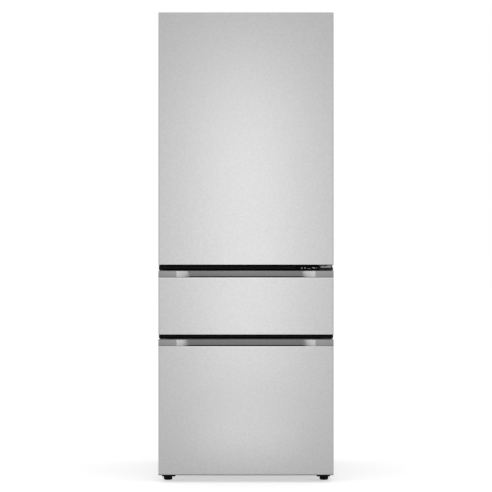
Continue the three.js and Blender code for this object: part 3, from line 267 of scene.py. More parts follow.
def plated(name, colour, roughness=0.3):
    """Bright plated or drawn metal with faint draw lines and a little staining."""
    finish = Finish(name, metallic=1.0)
    stain = finish.noise(45.0, 3.0, 0.6)
    fine = finish.noise(1500.0, 2.0)
    finish.set(
        base_color=finish.blend(stain, shade(0.82, colour), shade(1.08, colour)),
        roughness=stain * 0.14 + (roughness - 0.07),
        normal=finish.bump(fine, 0.00001),
    )
    return finish.material


def moulded(name, colour, roughness=0.45, grain=0.00003, scale=1100.0, **more):
    """Injection moulded plastic: a spark-eroded grain and a faint flow cloud."""
    finish = Finish(name, **more)
    pit = finish.noise(scale, 2.0, 0.6)
    cloud = finish.noise(6.0, 2.0)
    finish.set(
        base_color=finish.blend(cloud, shade(0.94, colour), shade(1.05, colour)),
        roughness=pit * 0.14 + (roughness - 0.07),
        normal=finish.bump(pit, grain),
    )
    return finish.material


def rubber(name, colour):
    finish = Finish(name)
    bloom = finish.noise(35.0, 3.0)
    pore = finish.noise(1500.0, 1.0)
    finish.set(
        base_color=finish.blend(bloom, shade(0.88, colour), shade(1.1, colour)),
        roughness=bloom * 0.12 + 0.58,
        normal=finish.bump(pore, 0.00004),
    )
    return finish.material


def clear_plate(name, tint, roughness, transmission=0.9):
    finish = Finish(name, transmission_weight=transmission, ior=1.5)
    haze = finish.noise(60.0, 2.0)
    finish.set(
        base_color=finish.blend(haze, shade(0.97, tint), tint),
        roughness=haze * 0.05 + roughness,
    )
    return finish.material


def lamp_mark(name, level, strength):
    """A lit mark behind a dark or milky window, brightest where its diode sits."""
    finish = Finish(name, base_color=shade(level), roughness=0.4, emission_strength=strength)
    glow = finish.noise(220.0, 1.0)
    finish.set(emission_color=finish.blend(glow, (0.80, 0.84, 0.88), (1.0, 1.0, 1.0)))
    return finish.material


# Each front's level, and the heights of the painted shade along its lower edge and of the painted highlight along
# its upper edge.
FRONT_LOOK = {"upper_door_skin": (0.4286, 1.3 * MM, 0.0), "middle_drawer_skin": (0.424, 1.2 * MM, 3.4 * MM),
              "lower_drawer_skin": (0.4163, 2.6 * MM, 3.4 * MM)}
front_steel = {node: stainless(f"{node}_steel", level, 0.3, varied=painted_edge_bands(node, *edges))
               for node, (level, *edges) in FRONT_LOOK.items()}
handle_metal = {node: stainless(f"{node}_metal", 0.2, 0.2, grain=0.000002, mottled=0.03, varied=handle_painted_light(node))
                for node in ("middle_handle", "lower_handle")}
slide_steel = stainless("slide_steel", 0.6, 0.25)
case_paint = painted("case_paint", 0.36)
zinc_sheet = galvanised("zinc_sheet", 0.5)
bracket_zinc = galvanised("bracket_zinc", 0.3)
black_moulding = moulded("black_moulding", (0.006, 0.006, 0.0065), 0.5, specular_ior_level=0.12)
corner_plastic = moulded("corner_plastic", (0.05, 0.05, 0.051), 0.5, specular_ior_level=0.2)
foot_plastic = moulded("foot_plastic", (0.003, 0.003, 0.003), 0.6, specular_ior_level=0.1)
white_lining = moulded("white_lining", (0.80, 0.81, 0.82), 0.36, grain=0.000015)
grey_moulding = moulded("grey_moulding", (0.33, 0.34, 0.35), 0.48)
container_plastic = moulded("container_plastic", (0.50, 0.53, 0.56), 0.4, subsurface_weight=0.15)
lid_plastic = moulded("lid_plastic", (0.20, 0.225, 0.25), 0.42)
latch_plastic = moulded("latch_plastic", (0.42, 0.45, 0.48), 0.38)
trim_plastic = moulded("trim_plastic", (0.66, 0.68, 0.69), 0.3)
seal_rubber = rubber("seal_rubber", (0.24, 0.245, 0.25))
tyre_rubber = rubber("tyre_rubber", (0.03, 0.03, 0.031))
rigid_foam = moulded("rigid_foam", (0.75, 0.62, 0.36), 0.9, grain=0.0004, scale=260.0)
black_enamel = painted("black_enamel", 0.014, 0.3)
fin_metal = stainless("fin_metal", 0.72, 0.3)
copper_pipe = plated("copper_pipe", (0.72, 0.36, 0.22))
screw_metal = plated("screw_metal", (0.62, 0.62, 0.60), 0.26)
shelf_glass = clear_plate("shelf_glass", (0.86, 0.95, 0.93), 0.04)
dark_window = moulded("dark_window", (0.003, 0.003, 0.003), 0.2, grain=0.0, specular_ior_level=0.03)
window_mark = lamp_mark("window_mark", 0.12, 0.3)
lamp_lens = lamp_mark("lamp_lens", 0.85, 0.15)

NODE_FINISH = {
    case_paint: ["outer_case"],
    zinc_sheet: ["back_panel", "bottom_deck", "machine_base", "machine_cover", "top_hinge", "middle_cradle",
                 "lower_cradle"],
    bracket_zinc: ["middle_hinge"],
    slide_steel: ["middle_slide_left", "middle_slide_right", "middle_slide_carrier", "lower_slide_left",
                  "lower_slide_right", "lower_slide_carrier"],
    black_moulding: ["control_housing", "lower_trim", "upper_door_bottom_cap", "middle_grip_cap", "lower_grip_cap",
                     "condenser_fan", "evaporator_fan"],
    foot_plastic: ["foot_left", "foot_right"],
    tyre_rubber: ["roller_left", "roller_right"],
    dark_window: ["display_window"],
    white_lining: ["upper_liner", "middle_liner", "lower_liner", "upper_door_liner", "middle_drawer_liner",
                   "lower_drawer_liner", "duct_cover"],
    grey_moulding: ["drip_tray", "board_cover", "hinge_cover", "upper_door_top_cap"],
    shelf_glass: ["shelf_1", "shelf_2"],
    container_plastic: ["middle_container_left", "middle_container_right", "lower_container_left",
                        "lower_container_right"],
    lid_plastic: ["middle_lid_left", "middle_lid_right", "lower_lid_left", "lower_lid_right"],
    seal_rubber: ["upper_door_seal", "middle_drawer_seal", "lower_drawer_seal"],
    rigid_foam: ["cabinet_foam"],
    black_enamel: ["compressor"],
    fin_metal: ["condenser", "evaporator"],
}
finish_of_node = {name: material for material, names in NODE_FINISH.items() for name in names}
finish_of_node |= front_steel | handle_metal
for name, material in finish_of_node.items():
    slots = nodes[name].data.materials
    slots.clear()
    slots.append(material)


# ---------------------------------------------------------------- making pieces

def piece(name, made, finish, body, smooth=35.0):
    """Turns a bmesh into an object that rides on a body. Edges bent by more than the angle stay sharp."""
    bmesh.ops.recalc_face_normals(made, faces=made.faces)
    mesh = bpy.data.meshes.new(name)
    made.to_mesh(mesh)
    made.free()
    mesh.materials.append(finish)
    mesh.shade_smooth()
    mesh.set_sharp_from_angle(angle=math.radians(smooth))
    shape = bpy.data.objects.new(name, mesh)
    bpy.context.collection.objects.link(shape)
    weighted = shape.modifiers.new("flat_faces_stay_flat", "WEIGHTED_NORMAL")
    weighted.keep_sharp = True
    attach(shape, body)
    return shape


def round_edges(made, edges, width, segments=2):
    bmesh.ops.bevel(made, geom=list(edges), offset=width, offset_type="OFFSET", affect="EDGES", segments=segments,
                    profile=0.5, clamp_overlap=True, material=-1)


def slab(made, low, high, width=0.0, segments=2):
    """A block between two corners with rounded edges."""
    low, high = Vector(low), Vector(high)
    span = high - low
    place = Matrix.Translation((low + high) / 2) @ Matrix.Diagonal((*span, 1.0))
    verts = bmesh.ops.create_cube(made, size=1.0, matrix=place)["verts"]
    if width:
        round_edges(made, {edge for vert in verts for edge in vert.link_edges}, width, segments)


def turn_to(axis):
    """The rotation that takes +Z to an axis."""
    return Vector((0.0, 0.0, 1.0)).rotation_difference(Vector(axis)).to_matrix().to_4x4()


def turned(made, centre, axis, outline, sides=32):
    """A turned shape: its outline is (radius, height) points along the axis, closed on itself or on the axis."""
    base = Matrix.Translation(centre) @ turn_to(axis)
    verts = [made.verts.new(base @ Vector((radius, 0.0, height))) for radius, height in outline]
    edges = [made.edges.new(pair) for pair in zip(verts, verts[1:])]
    bmesh.ops.spin(made, geom=verts + edges, cent=centre, axis=Vector(axis).normalized(), angle=2 * math.pi,
                   steps=sides, use_merge=True, use_duplicate=False)
    bmesh.ops.remove_doubles(made, verts=[vert for vert in made.verts if vert.is_valid], dist=1e-6)


def merged_copy(node):
    """A CAD node's shape as whole faces, for a piece that takes its place."""
    made = bmesh.new()
    made.from_mesh(nodes[node].data)
    bmesh.ops.remove_doubles(made, verts=made.verts, dist=2e-6)
    bmesh.ops.dissolve_limit(made, angle_limit=math.radians(0.5), verts=made.verts, edges=made.edges)
    return made


def rounded_copy(node, width, segments=2, bend=30.0):
    """A CAD node's shape with its sharp edges rounded."""
    made = merged_copy(node)
    sharp = [edge for edge in made.edges if edge.is_manifold and edge.calc_face_angle(0.0) > math.radians(bend)]
    round_edges(made, sharp, width, segments)
    return made


def stepped(made, low, high, level, inset, corner, steps):
    """A rounded rectangle on a level, whose face is drawn outwards and upwards in steps of millimetres."""
    left, right, near, far = low.x + inset, high.x - inset, low.y + inset, high.y - inset
    verts = [made.verts.new(place) for place in (
        (left, near, level), (right, near, level), (right, far, level), (left, far, level))]
    made.faces.new(verts)
    bmesh.ops.bevel(made, geom=verts, offset=corner, offset_type="OFFSET", affect="VERTICES", segments=6,
                    profile=0.5, material=-1)
    face = made.faces[:][-1]
    centre = (low + high) / 2
    for out, up in steps:
        grown = bmesh.ops.extrude_face_region(made, geom=[face, *face.edges])["geom"]
        face = next(item for item in grown if isinstance(item, bmesh.types.BMFace))
        for vert in face.verts:
            for axis in (0, 1):
                vert.co[axis] += out * MM * math.copysign(1.0, vert.co[axis] - centre[axis])
            vert.co.z += up * MM


def stand_for(node, made, name=None, finish=None, smooth=35.0):
    """Makes the piece that is seen in a CAD node's place."""
    shape = piece(name or f"{node}_moulded", made, finish or finish_of_node[node], body_of_node[node],
                  smooth)
    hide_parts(node)
    return shape


# ---------------------------------------------------------------- steel, handles and mouldings

for name in FRONT_LOOK:
    stand_for(name, rounded_copy(name, 0.35 * MM), f"{name}_rolled")


SCOOP_START = 266 * MM  # where a handle's slopes begin, from its middle
SCOOP_RUN = 54 * MM
SCOOP_TURN = 3 * MM  # how much deeper the scoop's lower edge lies
TURN_EASE = 2.2  # 1 would turn it down evenly along a slope, and more leaves it to the slope's end
SOLID_EASE = 4  # how the solid turns down
SCOOP_FACE = 6 * MM  # what lies further back than this isn't the handle's face
MOULDING_END = 8 * MM  # how near to the fronts' sides a moulding's ends lie


def scooped_handle(node):
    """A handle whose scoop turns down gradually, so that a light's reflection fades along each slope."""
    low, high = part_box(node)
    made = rounded_copy(node, 0.5 * MM)
    for vert in made.verts:
        share = (SCOOP_START - abs(vert.co.x)) / SCOOP_RUN
        if 0.0 < share < 1.0 and vert.co.y < low.y + SCOOP_FACE:
            downwards = (high.z - vert.co.z) / (high.z - low.z)
            vert.co.y += SCOOP_TURN * downwards * (share ** TURN_EASE - share ** SOLID_EASE)
    stand_for(node, made, f"{node}_extruded", smooth=12.0)


for name in ("middle_handle", "lower_handle"):
    scooped_handle(name)
front_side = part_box("upper_door_skin")[1].x
for name in ("control_housing", "lower_trim"):
    made = rounded_copy(name, 0.4 * MM)
    for vert in made.verts:  # its ends come out to the fronts' sides
        if 0.0 < front_side - abs(vert.co.x) < MOULDING_END:
            vert.co.x = math.copysign(front_side, vert.co.x)
    stand_for(name, made)
for name in ("upper_door_bottom_cap", "upper_door_top_cap", "middle_grip_cap", "lower_grip_cap", "drip_tray",
             "shelf_1", "shelf_2", "duct_cover"):
    stand_for(name, rounded_copy(name, 0.4 * MM))
for name in ("hinge_cover", "board_cover"):
    stand_for(name, rounded_copy(name, 0.7 * MM, 3))
for name in ("middle_hinge", "top_hinge", "outer_case", "back_panel", "bottom_deck", "machine_base",
             "machine_cover", "middle_cradle", "lower_cradle"):
    stand_for(name, rounded_copy(name, 0.3 * MM), f"{name}_pressed")
for drawer in ("middle", "lower"):
    for part in ("slide_left", "slide_right", "slide_carrier"):
        stand_for(f"{drawer}_{part}", rounded_copy(f"{drawer}_{part}", 0.25 * MM), f"{drawer}_{part}_rolled")
for name in ("compressor", "condenser_fan", "evaporator_fan"):
    stand_for(name, rounded_copy(name, 0.4 * MM, bend=50.0), smooth=42.0)


# ---------------------------------------------------------------- display

def display_marks():
    """A touch ring, small signs and a row of level bars behind the window, none of them lettering."""
    low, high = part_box("display_window")
    face = low.y
    row = (low.z + high.z) / 2 - 2.2 * MM  # the height of the marks' middle line
    made = bmesh.new()

    def ring(x, radius, width):
        turned(made, (x, face, row), (0.0, -1.0, 0.0), [
            (radius - width, -0.3 * MM), (radius, -0.3 * MM), (radius, 0.05 * MM), (radius - width, 0.05 * MM),
            (radius - width, -0.3 * MM)], sides=36)

    def bar(x, z, wide, tall):
        slab(made, (x - wide / 2, face - 0.05 * MM, z - tall / 2), (x + wide / 2, face + 0.3 * MM, z + tall / 2))

    ring(low.x + 22.5 * MM, 2.75 * MM, 0.9 * MM)
    bar(low.x + 22.5 * MM, row, 0.9 * MM, 3.0 * MM)
    bar(low.x + 34 * MM, row + 1.6 * MM, 6.0 * MM, 2.0 * MM)
    bar(low.x + 35 * MM, row - 1.2 * MM, 3.0 * MM, 1.2 * MM)
    for step in range(4):
        bar(low.x + (43 + 3.4 * step) * MM, row - 1.2 * MM, 1.4 * MM, (1.2 + 0.8 * step) * MM)
    bar(low.x + 67 * MM, row + 2.2 * MM, 11.0 * MM, 1.8 * MM)
    bar(low.x + 69 * MM, row - 0.8 * MM, 7.0 * MM, 1.1 * MM)
    bar(low.x + 79 * MM, row + 0.6 * MM, 5.0 * MM, 1.3 * MM)
    piece("display_marks", made, window_mark, "cabinet")


display_marks()


# ---------------------------------------------------------------- screws, ribs and the cord's gland

def screws(name, body, axis, places, radius=4.2 * MM):
    """Pan head screws standing on a surface, and black crosses in their heads, painted shade where the cross
    recesses would be.
    """
    axis = Vector(axis)
    heads, cross_shades = bmesh.new(), bmesh.new()
    for number, place in enumerate(places):
        turned(heads, place, axis, [
            (0.0, 0.0), (radius, 0.0), (radius, 0.5 * MM), (radius * 0.93, 1.2 * MM), (radius * 0.72, 1.8 * MM),
            (radius * 0.4, 2.1 * MM), (0.0, 2.2 * MM)], sides=16)
        base = Matrix.Translation(Vector(place) + axis * 2.0 * MM) @ turn_to(axis)
        # Each cross is painted shade: a black shape in place of the shade inside a recess.
        for turn in (0.0, math.pi / 2):
            arm = base @ Matrix.Rotation(turn + 0.7 * number, 4, "Z")
            bmesh.ops.create_cube(cross_shades, size=1.0,
                                  matrix=arm @ Matrix.Diagonal((radius * 1.05, radius * 0.2, 0.5 * MM, 1.0)))
    piece(f"{name}_screws", heads, screw_metal, body, 40.0)
    piece(f"{name}_screw_cross_shade", cross_shades, black_enamel, body)


def back_details():
    """Screws round the back panel, its covers and the machine room, the panel's ribs, and the cord's gland."""
    back_low, back_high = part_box("back_panel")
    cover_low, cover_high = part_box("machine_cover")
    board_low, board_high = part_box("board_cover")
    behind = (0.0, 1.0, 0.0)
    edge = 14 * MM
    places = []
    for step in range(6):
        z = back_low.z + edge + (back_high.z - back_low.z - 2 * edge) * step / 5
        places += [(back_low.x + edge, back_high.y, z), (back_high.x - edge, back_high.y, z)]
    for share in (0.25, 0.5, 0.75):
        places.append((back_low.x + (back_high.x - back_low.x) * share, back_high.y, back_high.z - edge))
    screws("back_panel", "cabinet", behind, places)
    # The cover's own heads are sunk in dimples, so that its back stays the rearmost face.
    places = [(x, cover_high.y - 2.4 * MM, z) for x in (cover_low.x + edge, 0.0, cover_high.x - edge)
              for z in (cover_low.z + edge, cover_high.z - edge)]
    screws("machine_cover", "cabinet", behind, places)
    inset = 9 * MM
    places = [(x, board_high.y - 0.3 * MM, z) for x in (board_low.x + inset, board_high.x - inset)
              for z in (board_low.z + inset, board_high.z - inset)]
    screws("board_cover", "cabinet", behind, places, 3.2 * MM)

    ribs = bmesh.new()
    half_wide = 9 * MM
    for x in (-0.21, -0.07, 0.07, 0.21):
        slab(ribs, (x - half_wide, back_high.y - 0.2 * MM, back_low.z + 70 * MM),
             (x + half_wide, back_high.y + 2.2 * MM, board_low.z - 40 * MM), 2.1 * MM, 3)
    piece("back_panel_ribs", ribs, zinc_sheet, "cabinet")

    gland = bmesh.new()
    turned(gland, (back_low.x + 70 * MM, back_high.y, back_low.z + 36 * MM), behind, [
        (0.0, 0.0), (13 * MM, 0.0), (13 * MM, 2.0 * MM), (12 * MM, 3.0 * MM), (8.4 * MM, 3.2 * MM),
        (7.6 * MM, 5.0 * MM), (7.4 * MM, 6.2 * MM), (6.6 * MM, 6.4 * MM), (6.8 * MM, 8.2 * MM),
        (6.0 * MM, 9.6 * MM), (4.2 * MM, 10.0 * MM), (4.0 * MM, 3.0 * MM), (0.0, 2.8 * MM)], sides=28)
    piece("cord_gland", gland, black_moulding, "cabinet")


back_details()


def hinge_details():
    """Screws of the hinge cover and of the centre hinge's flange, and the dark corner piece under its plate."""
    low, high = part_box("hinge_cover")
    screws("hinge_cover", "cabinet", (0.0, 0.0, 1.0), [(low.x + 22 * MM, high.y - 18 * MM, high.z - 2.2 * MM)],
           3.4 * MM)
    low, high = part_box("middle_hinge")
    screws("middle_hinge", "cabinet", (0.0, -1.0, 0.0),
           [(x, high.y - 3.5 * MM, low.z + 7 * MM) for x in (low.x + 9 * MM, high.x - 9 * MM)], 2.6 * MM)
    housing_low, housing_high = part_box("control_housing")
    corner = bmesh.new()
    slab(corner, (housing_high.x + 0.3 * MM, housing_low.y + 3 * MM, housing_low.z),
         (front_side, high.y - 7 * MM, low.z + 13.4 * MM), 0.5 * MM)
    piece("middle_hinge_corner", corner, corner_plastic, "cabinet")


hinge_details()


# ---------------------------------------------------------------- seals

def bellows_seal(node):
    """A magnetic seal: a flat foot, a folded bellows and the round magnet tube that meets the cabinet."""
    low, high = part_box(node)
    deep = high.y - low.y
    wide = 16 * MM
    across = [(0.0, 0.0), (1.0, 0.0), (1.0, 0.10), (0.86, 0.16), (0.86, 0.26), (0.97, 0.34), (0.97, 0.44),
              (0.86, 0.52), (0.97, 0.62), (1.0, 0.74), (0.97, 0.92), (0.90, 1.0), (0.10, 1.0), (0.03, 0.92),
              (0.0, 0.74), (0.03, 0.62), (0.14, 0.52), (0.03, 0.44), (0.03, 0.34), (0.14, 0.26), (0.14, 0.16),
              (0.0, 0.10)]
    made = bmesh.new()
    rings = []
    for sx, sz in ((-1, -1), (1, -1), (1, 1), (-1, 1)):
        x = low.x if sx < 0 else high.x
        z = low.z if sz < 0 else high.z
        verts = [made.verts.new((x - sx * wide * u, low.y + deep * v, z - sz * wide * u)) for u, v in across]
        rings.append([made.edges.new(pair) for pair in zip(verts, verts[1:] + verts[:1])])
    for first, second in zip(rings, rings[1:] + rings[:1]):
        bmesh.ops.bridge_loops(made, edges=first + second)
    stand_for(node, made, f"{node}_bellows", smooth=50.0)


for name in ("upper_door_seal", "middle_drawer_seal", "lower_drawer_seal"):
    bellows_seal(name)


# ---------------------------------------------------------------- linings

def room_lining(node):
    """A compartment's lining: the long inner corners are drawn round."""
    low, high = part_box(node)
    rim, wall = 10 * MM, 2 * MM
    faces = [(0, high.x - rim), (0, low.x + rim), (1, high.y - wall), (2, low.z + rim), (2, high.z - rim)]

    def held(edge):
        return sum(all(abs(vert.co[axis] - level) < 0.05 * MM for vert in edge.verts) for axis, level in faces)

    made = merged_copy(node)
    round_edges(made, [edge for edge in made.edges if edge.is_manifold and held(edge) > 1
                       and edge.calc_face_angle_signed(0.0) < -0.5], 8 * MM, 4)
    stand_for(node, made, f"{node}_drawn")


def front_lining(node):
    """A front's lining: its raised plug has round edges, and a shallow frame is pressed into it."""
    low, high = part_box(node)
    made = merged_copy(node)
    rim = [edge for edge in made.edges if edge.is_manifold and edge.calc_face_angle(0.0) > 0.5
           and all(vert.co.y > high.y - 0.1 * MM for vert in edge.verts)]
    round_edges(made, rim, 7 * MM, 4)
    plug = max((face for face in made.faces if face.normal.y > 0.99), key=lambda face: face.calc_area())
    bmesh.ops.inset_region(made, faces=[plug], thickness=26 * MM, depth=0.0)
    bmesh.ops.inset_region(made, faces=[plug], thickness=4 * MM, depth=-4 * MM)
    stand_for(node, made, f"{node}_drawn")


for name in ("upper_liner", "middle_liner", "lower_liner"):
    room_lining(name)
for name in ("upper_door_liner", "middle_drawer_liner", "lower_drawer_liner"):
    front_lining(name)


def shelf_trims():
    """A pale moulding along each glass shelf's front edge, and a stop along its back."""
    for name in ("shelf_1", "shelf_2"):
        low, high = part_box(name)
        made = bmesh.new()
        for y, deep, up in ((low.y, 14 * MM, 0.0), (high.y - 8 * MM, 8 * MM, 9 * MM)):
            slab(made, (low.x + 4 * MM, y, high.z - 5 * MM), (high.x - 4 * MM, y + deep, high.z + 2.4 * MM + up),
                 1.2 * MM, 3)
        piece(f"{name}_trims", made, trim_plastic, "cabinet")


shelf_trims()


def ceiling_lamp():
    """The upper compartment's lamp: a milky lens in a white bezel."""
    low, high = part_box("upper_liner")
    ceiling = high.z - 10 * MM
    y = low.y + 120 * MM
    bezel, lens = bmesh.new(), bmesh.new()
    slab(bezel, (-0.075, y - 0.028, ceiling - 5 * MM), (0.075, y + 0.028, ceiling), 2 * MM, 3)
    slab(lens, (-0.066, y - 0.021, ceiling - 8 * MM), (0.066, y + 0.021, ceiling - 4 * MM), 1.8 * MM, 4)
    piece("lamp_bezel", bezel, white_lining, "cabinet")
    piece("lamp_lens", lens, lamp_lens, "cabinet")


ceiling_lamp()


# ---------------------------------------------------------------- containers

def tub(node):
    """A kimchi container: drafted walls with round corners, a rolled rim, and a floor with a soft edge."""
    low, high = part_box(node)
    tall = (high.z - low.z) / MM
    made = bmesh.new()
    stepped(made, low, high, low.z, 9 * MM, 14 * MM, [
        (2.0, 0.6), (2.0, 2.4), (1.6, tall - 11), (3.2, 0.4), (0.2, 5.6), (-0.6, 1.4), (-0.8, 0.6), (-1.6, 0.0),
        (-0.9, -0.6), (-0.6, -1.4), (-1.4, 6.6 - tall), (-2.2, -1.2), (-1.6, -0.4)])
    stand_for(node, made, f"{node}_tub", smooth=50.0)


def lid(node, tub_node):
    """A container's lid: a border with a groove, a raised panel with three ribs, and a round vent."""
    low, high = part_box(node)
    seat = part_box(tub_node)[1].z + 0.3 * MM
    made = bmesh.new()
    stepped(made, low, high, seat, 1.4 * MM, 15 * MM, [
        (1.0, 0.5), (0.4, 1.2), (0.0, 2.8), (-0.6, 1.1), (-0.9, 0.4), (-7.5, 0.0), (-1.0, -1.6), (-2.4, 0.0),
        (-1.0, 1.6), (-3.4, 0.0), (-1.4, 4.6), (-0.8, 1.0), (-1.0, 0.4), (-12.0, 0.0), (-1.2, -1.8)])
    centre = (low + high) / 2
    top = high.z
    for share in (-0.26, 0.0, 0.26):
        x = centre.x + share * (high.x - low.x)
        slab(made, (x - 4 * MM, low.y + 62 * MM, top - 3 * MM), (x + 4 * MM, high.y - 62 * MM, top - 0.6 * MM),
             0.9 * MM)
    stand_for(node, made, f"{node}_formed", smooth=50.0)
    vent = bmesh.new()
    turned(vent, (centre.x, low.y + 46 * MM, top - 2.2 * MM), (0.0, 0.0, 1.0), [
        (0.0, 0.0), (13 * MM, 0.0), (13 * MM, 1.4 * MM), (12.2 * MM, 2.0 * MM), (10 * MM, 2.1 * MM),
        (9.4 * MM, 1.2 * MM), (4.0 * MM, 1.2 * MM), (3.4 * MM, 2.1 * MM), (0.0, 2.15 * MM)], sides=32)
    piece(f"{node}_vent", vent, latch_plastic, body_of_node[node], 40.0)


def latches(node, tub_node):
    """Four wings that swing down over a container's rim, each with a lip for the thumb."""
    low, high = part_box(node)
    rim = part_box(tub_node)[1].z
    span = (rim - 24 * MM, rim + 6.9 * MM)
    made = bmesh.new()

    def wing(side, axis):
        half = 0.19 * (high[1 - axis] - low[1 - axis])
        middle = (low[1 - axis] + high[1 - axis]) / 2
        face = high[axis] if side > 0 else low[axis]
        lip = (-1.8, 2.4, span[0], span[0] + 4 * MM, 8 * MM)
        for near, far, bottom, top, narrow in ((-1.3, 1.6, *span, 0.0), lip):
            first, second = [0.0, 0.0, bottom], [0.0, 0.0, top]
            first[1 - axis], second[1 - axis] = middle - half + narrow, middle + half - narrow
            first[axis], second[axis] = sorted((face + side * near * MM, face + side * far * MM - side * 1.0 * MM))
            slab(made, first, second, 0.6 * MM)

    for axis in (0, 1):
        for side in (-1, 1):
            wing(side, axis)
    piece(f"{node}_latches", made, latch_plastic, body_of_node[node])


for drawer in ("middle", "lower"):
    for side in ("left", "right"):
        tub(f"{drawer}_container_{side}")
        lid(f"{drawer}_lid_{side}", f"{drawer}_container_{side}")
        latches(f"{drawer}_lid_{side}", f"{drawer}_container_{side}")


# ---------------------------------------------------------------- feet, rollers and machine room

def foot_details(node):
    """A foot with softened edges, and the grip ribs round its pad."""
    low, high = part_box(node)
    centre = Vector(((low.x + high.x) / 2, (low.y + high.y) / 2, 0.0))
    radius = (high.x - low.x) / 2
    stand_for(node, rounded_copy(node, 0.6 * MM, bend=40.0), smooth=30.0)
    made = bmesh.new()
    count = 20
    for step in range(count):
        place = Matrix.Translation(centre) @ Matrix.Rotation(2 * math.pi * step / count, 4, "Z")
        bmesh.ops.create_cube(made, size=1.0, matrix=place @ Matrix.Translation(
            (radius - 0.7 * MM, 0.0, 8 * MM)) @ Matrix.Diagonal((1.2 * MM, 1.8 * MM, 8 * MM, 1.0)))
    piece(f"{node}_grip_ribs", made, foot_plastic, node)


def roller_tyre(node):
    """A roller: a crowned tyre with a groove, a hub with a recess on each side, and the axle's ends."""
    low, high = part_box(node)
    centre = (low + high) / 2
    half = 7 * MM
    axle = (high.x - low.x) / 2
    side = [(0.0, axle), (2.8 * MM, axle - 0.3 * MM), (2.8 * MM, half - 1 * MM), (9 * MM, half - 1 * MM),
            (9.6 * MM, half), (18.4 * MM, half), (19.6 * MM, half - 1.4 * MM), (20 * MM, half - 3 * MM),
            (20 * MM, 1.2 * MM), (18.9 * MM, 0.5 * MM)]
    outline = side + [(radius, -height) for radius, height in reversed(side)]
    made = bmesh.new()
    turned(made, centre, (1.0, 0.0, 0.0), outline, sides=40)
    stand_for(node, made, f"{node}_tyre")


def bracket_shoe(side):
    """A black shoe clipped round the front and sides of the bracket over a foot."""
    foot_low, foot_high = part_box(f"foot_{side}")
    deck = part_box("bottom_deck")[0]
    middle = (foot_low.x + foot_high.x) / 2
    middle -= math.copysign(3 * MM, middle)
    near, far = deck.y - 0.9 * MM, foot_high.y + 6 * MM
    thick, top = 0.8 * MM, 33.8 * MM
    inner = 24.75 * MM
    outer = inner + thick
    made = bmesh.new()
    for first, second, depth in ((-outer, outer, thick), (-outer, -inner, far - near), (inner, outer, far - near)):
        slab(made, (middle + first, near, deck.z), (middle + second, near + depth, top), 0.2 * MM)
    piece(f"bracket_shoe_{side}", made, foot_plastic, "cabinet")


for side in ("left", "right"):
    foot_details(f"foot_{side}")
    bracket_shoe(side)
    roller_tyre(f"roller_{side}")


def machine_details():
    """The weld round the compressor's can, and the thin fins that fill the condenser."""
    low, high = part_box("compressor")
    centre = (low + high) / 2
    weld = bmesh.new()
    turned(weld, centre, (0.0, 0.0, 1.0), [
        (77 * MM, -5 * MM), (79.5 * MM, -5 * MM), (80.2 * MM, -3.5 * MM), (79.4 * MM, -0.8 * MM),
        (81.2 * MM, 0.4 * MM), (79.2 * MM, 1.8 * MM), (77 * MM, 1.8 * MM), (77 * MM, -5 * MM)], sides=48)
    piece("compressor_weld", weld, black_enamel, "cabinet", 40.0)

    low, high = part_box("condenser")
    middle = (low.y + high.y) / 2
    top = high.z - 12 * MM
    last = high.x - 6 * MM
    run, count = 160 * MM, 40
    half_thick, half_deep = 0.15 * MM, 74.5 * MM
    fins = bmesh.new()
    for step in range(1, count):
        x = last - run * step / count
        slab(fins, (x - half_thick, middle - half_deep, top - 129.5 * MM),
             (x + half_thick, middle + half_deep, top - 0.5 * MM))
    piece("condenser_fins", fins, fin_metal, "cabinet")


machine_details()


# ---------------------------------------------------------------- studio

CAMERA_AWAY = 7.0  # camera to the steel fronts
CAMERA_HEIGHT = 0.8992
FRAME_WIDTH = 1.8696  # what the picture's width spans at the fronts
SENSOR = 36.0

front_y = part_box("upper_door_skin")[0].y


def camera():
    data = bpy.data.cameras.new("camera")
    data.sensor_width = SENSOR
    data.lens = SENSOR * CAMERA_AWAY / FRAME_WIDTH
    lens = bpy.data.objects.new("camera", data)
    lens.location = (0.0, front_y - CAMERA_AWAY, CAMERA_HEIGHT)
    lens.rotation_euler = (math.radians(90.0), 0.0, 0.0)
    bpy.context.collection.objects.link(lens)
    bpy.context.scene.camera = lens


def seen_as_white(tree, mirrored=1.0):
    """1 for the rays that should meet plain white: the camera's, and, as far as mirrored says, those that
    metal and glass send on."""
    path = tree.nodes.new("ShaderNodeLightPath")
    total = path.outputs["Is Camera Ray"]
    for name in ("Is Glossy Ray", "Is Transmission Ray"):
        add = tree.nodes.new("ShaderNodeMath")
        add.operation = "MULTIPLY_ADD"
        add.use_clamp = True
        add.inputs[1].default_value = mirrored
        tree.links.new(path.outputs[name], add.inputs[0])
        tree.links.new(total, add.inputs[2])
        total = add.outputs[0]
    return total


DIFFUSE_SKY = 0.62  # the white surround, as matt surfaces see it


def surround():
    world = bpy.data.worlds.new("white_surround")
    bpy.context.scene.world = world
    world.use_nodes = True
    tree = world.node_tree
    ground = tree.nodes["Background"]
    ground.inputs["Color"].default_value = (1.0, 1.0, 1.0, 1.0)
    span = tree.nodes.new("ShaderNodeMapRange")
    span.inputs["To Min"].default_value = DIFFUSE_SKY
    span.inputs["To Max"].default_value = 1.0
    tree.links.new(seen_as_white(tree), span.inputs["Value"])
    tree.links.new(span.outputs[0], ground.inputs["Strength"])


FLOOR_LIFT = 0.48  # what the floor adds for the camera, so that it meets the white behind it
FLOOR_MIRRORED = 0.74  # how much of that the steel mirrors
FLOOR_RADIUS = 30.0


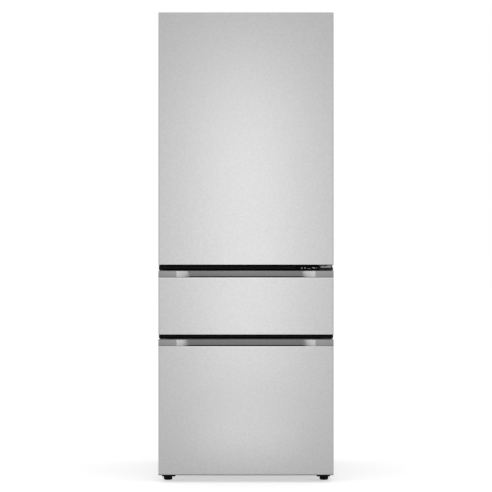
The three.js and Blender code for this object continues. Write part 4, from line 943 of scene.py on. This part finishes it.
def floor():
    finish = Finish("pale_floor", base_color=shade(0.82), roughness=0.9)
    tree = finish.tree
    lifted = tree.nodes.new("ShaderNodeAddShader")
    glow = tree.nodes.new("ShaderNodeEmission")
    glow.inputs["Strength"].default_value = FLOOR_LIFT
    mix = tree.nodes.new("ShaderNodeMixShader")
    tree.links.new(finish.shader.outputs[0], lifted.inputs[0])
    tree.links.new(glow.outputs[0], lifted.inputs[1])
    tree.links.new(seen_as_white(tree, FLOOR_MIRRORED), mix.inputs[0])
    tree.links.new(finish.shader.outputs[0], mix.inputs[1])
    tree.links.new(lifted.outputs[0], mix.inputs[2])
    tree.links.new(mix.outputs[0], finish.output.inputs["Surface"])
    made = bmesh.new()
    bmesh.ops.create_circle(made, cap_ends=True, segments=96, radius=FLOOR_RADIUS)
    mesh = bpy.data.meshes.new("floor")
    made.to_mesh(mesh)
    made.free()
    mesh.materials.append(finish.material)
    plane = bpy.data.objects.new("floor", mesh)
    bpy.context.collection.objects.link(plane)


def softbox(name, place, towards, size, watts, seen=True):
    data = bpy.data.lights.new(name, "AREA")
    data.shape = "RECTANGLE"
    data.size, data.size_y = size
    data.energy = watts
    lamp = bpy.data.objects.new(name, data)
    lamp.location = place
    lamp.rotation_mode = "QUATERNION"
    lamp.rotation_quaternion = (Vector(towards) - Vector(place)).to_track_quat("-Z", "Y")
    lamp.visible_camera = False
    lamp.visible_glossy = seen
    bpy.context.collection.objects.link(lamp)


LIGHT_AWAY = 3.2  # the tall lights to the steel fronts
TALL_LIGHT_HEIGHT = 0.99
SIDE_FILL_HEIGHT = 0.9
SIDE_FILL_WATTS = {-1: 0.30, 1: 0.42}  # to the left and to the right


def lights():
    """A tall light ahead, which steel mirrors as its bright middle, and what fills in round it."""
    away = front_y - LIGHT_AWAY
    softbox("tall_light", (0.0, away, TALL_LIGHT_HEIGHT), (0.0, 0.0, TALL_LIGHT_HEIGHT), (0.16, 1.94), 5.5)
    softbox("low_light", (0.0, front_y - 0.9, 0.08), (0.0, front_y, 0.08), (0.4, 0.10), 0.1)
    for side, watts in SIDE_FILL_WATTS.items():
        softbox("side_fill", (side * 0.48, away, SIDE_FILL_HEIGHT), (side * 0.4, 0.0, SIDE_FILL_HEIGHT),
                (0.18, 1.8), watts)
    softbox("overhead", (0.0, -1.2, 4.2), (0.0, 0.0, 0.6), (3.0, 3.0), 20.0, seen=False)


camera()
surround()
floor()
lights()

bpy.context.scene.view_settings.view_transform = "Standard"
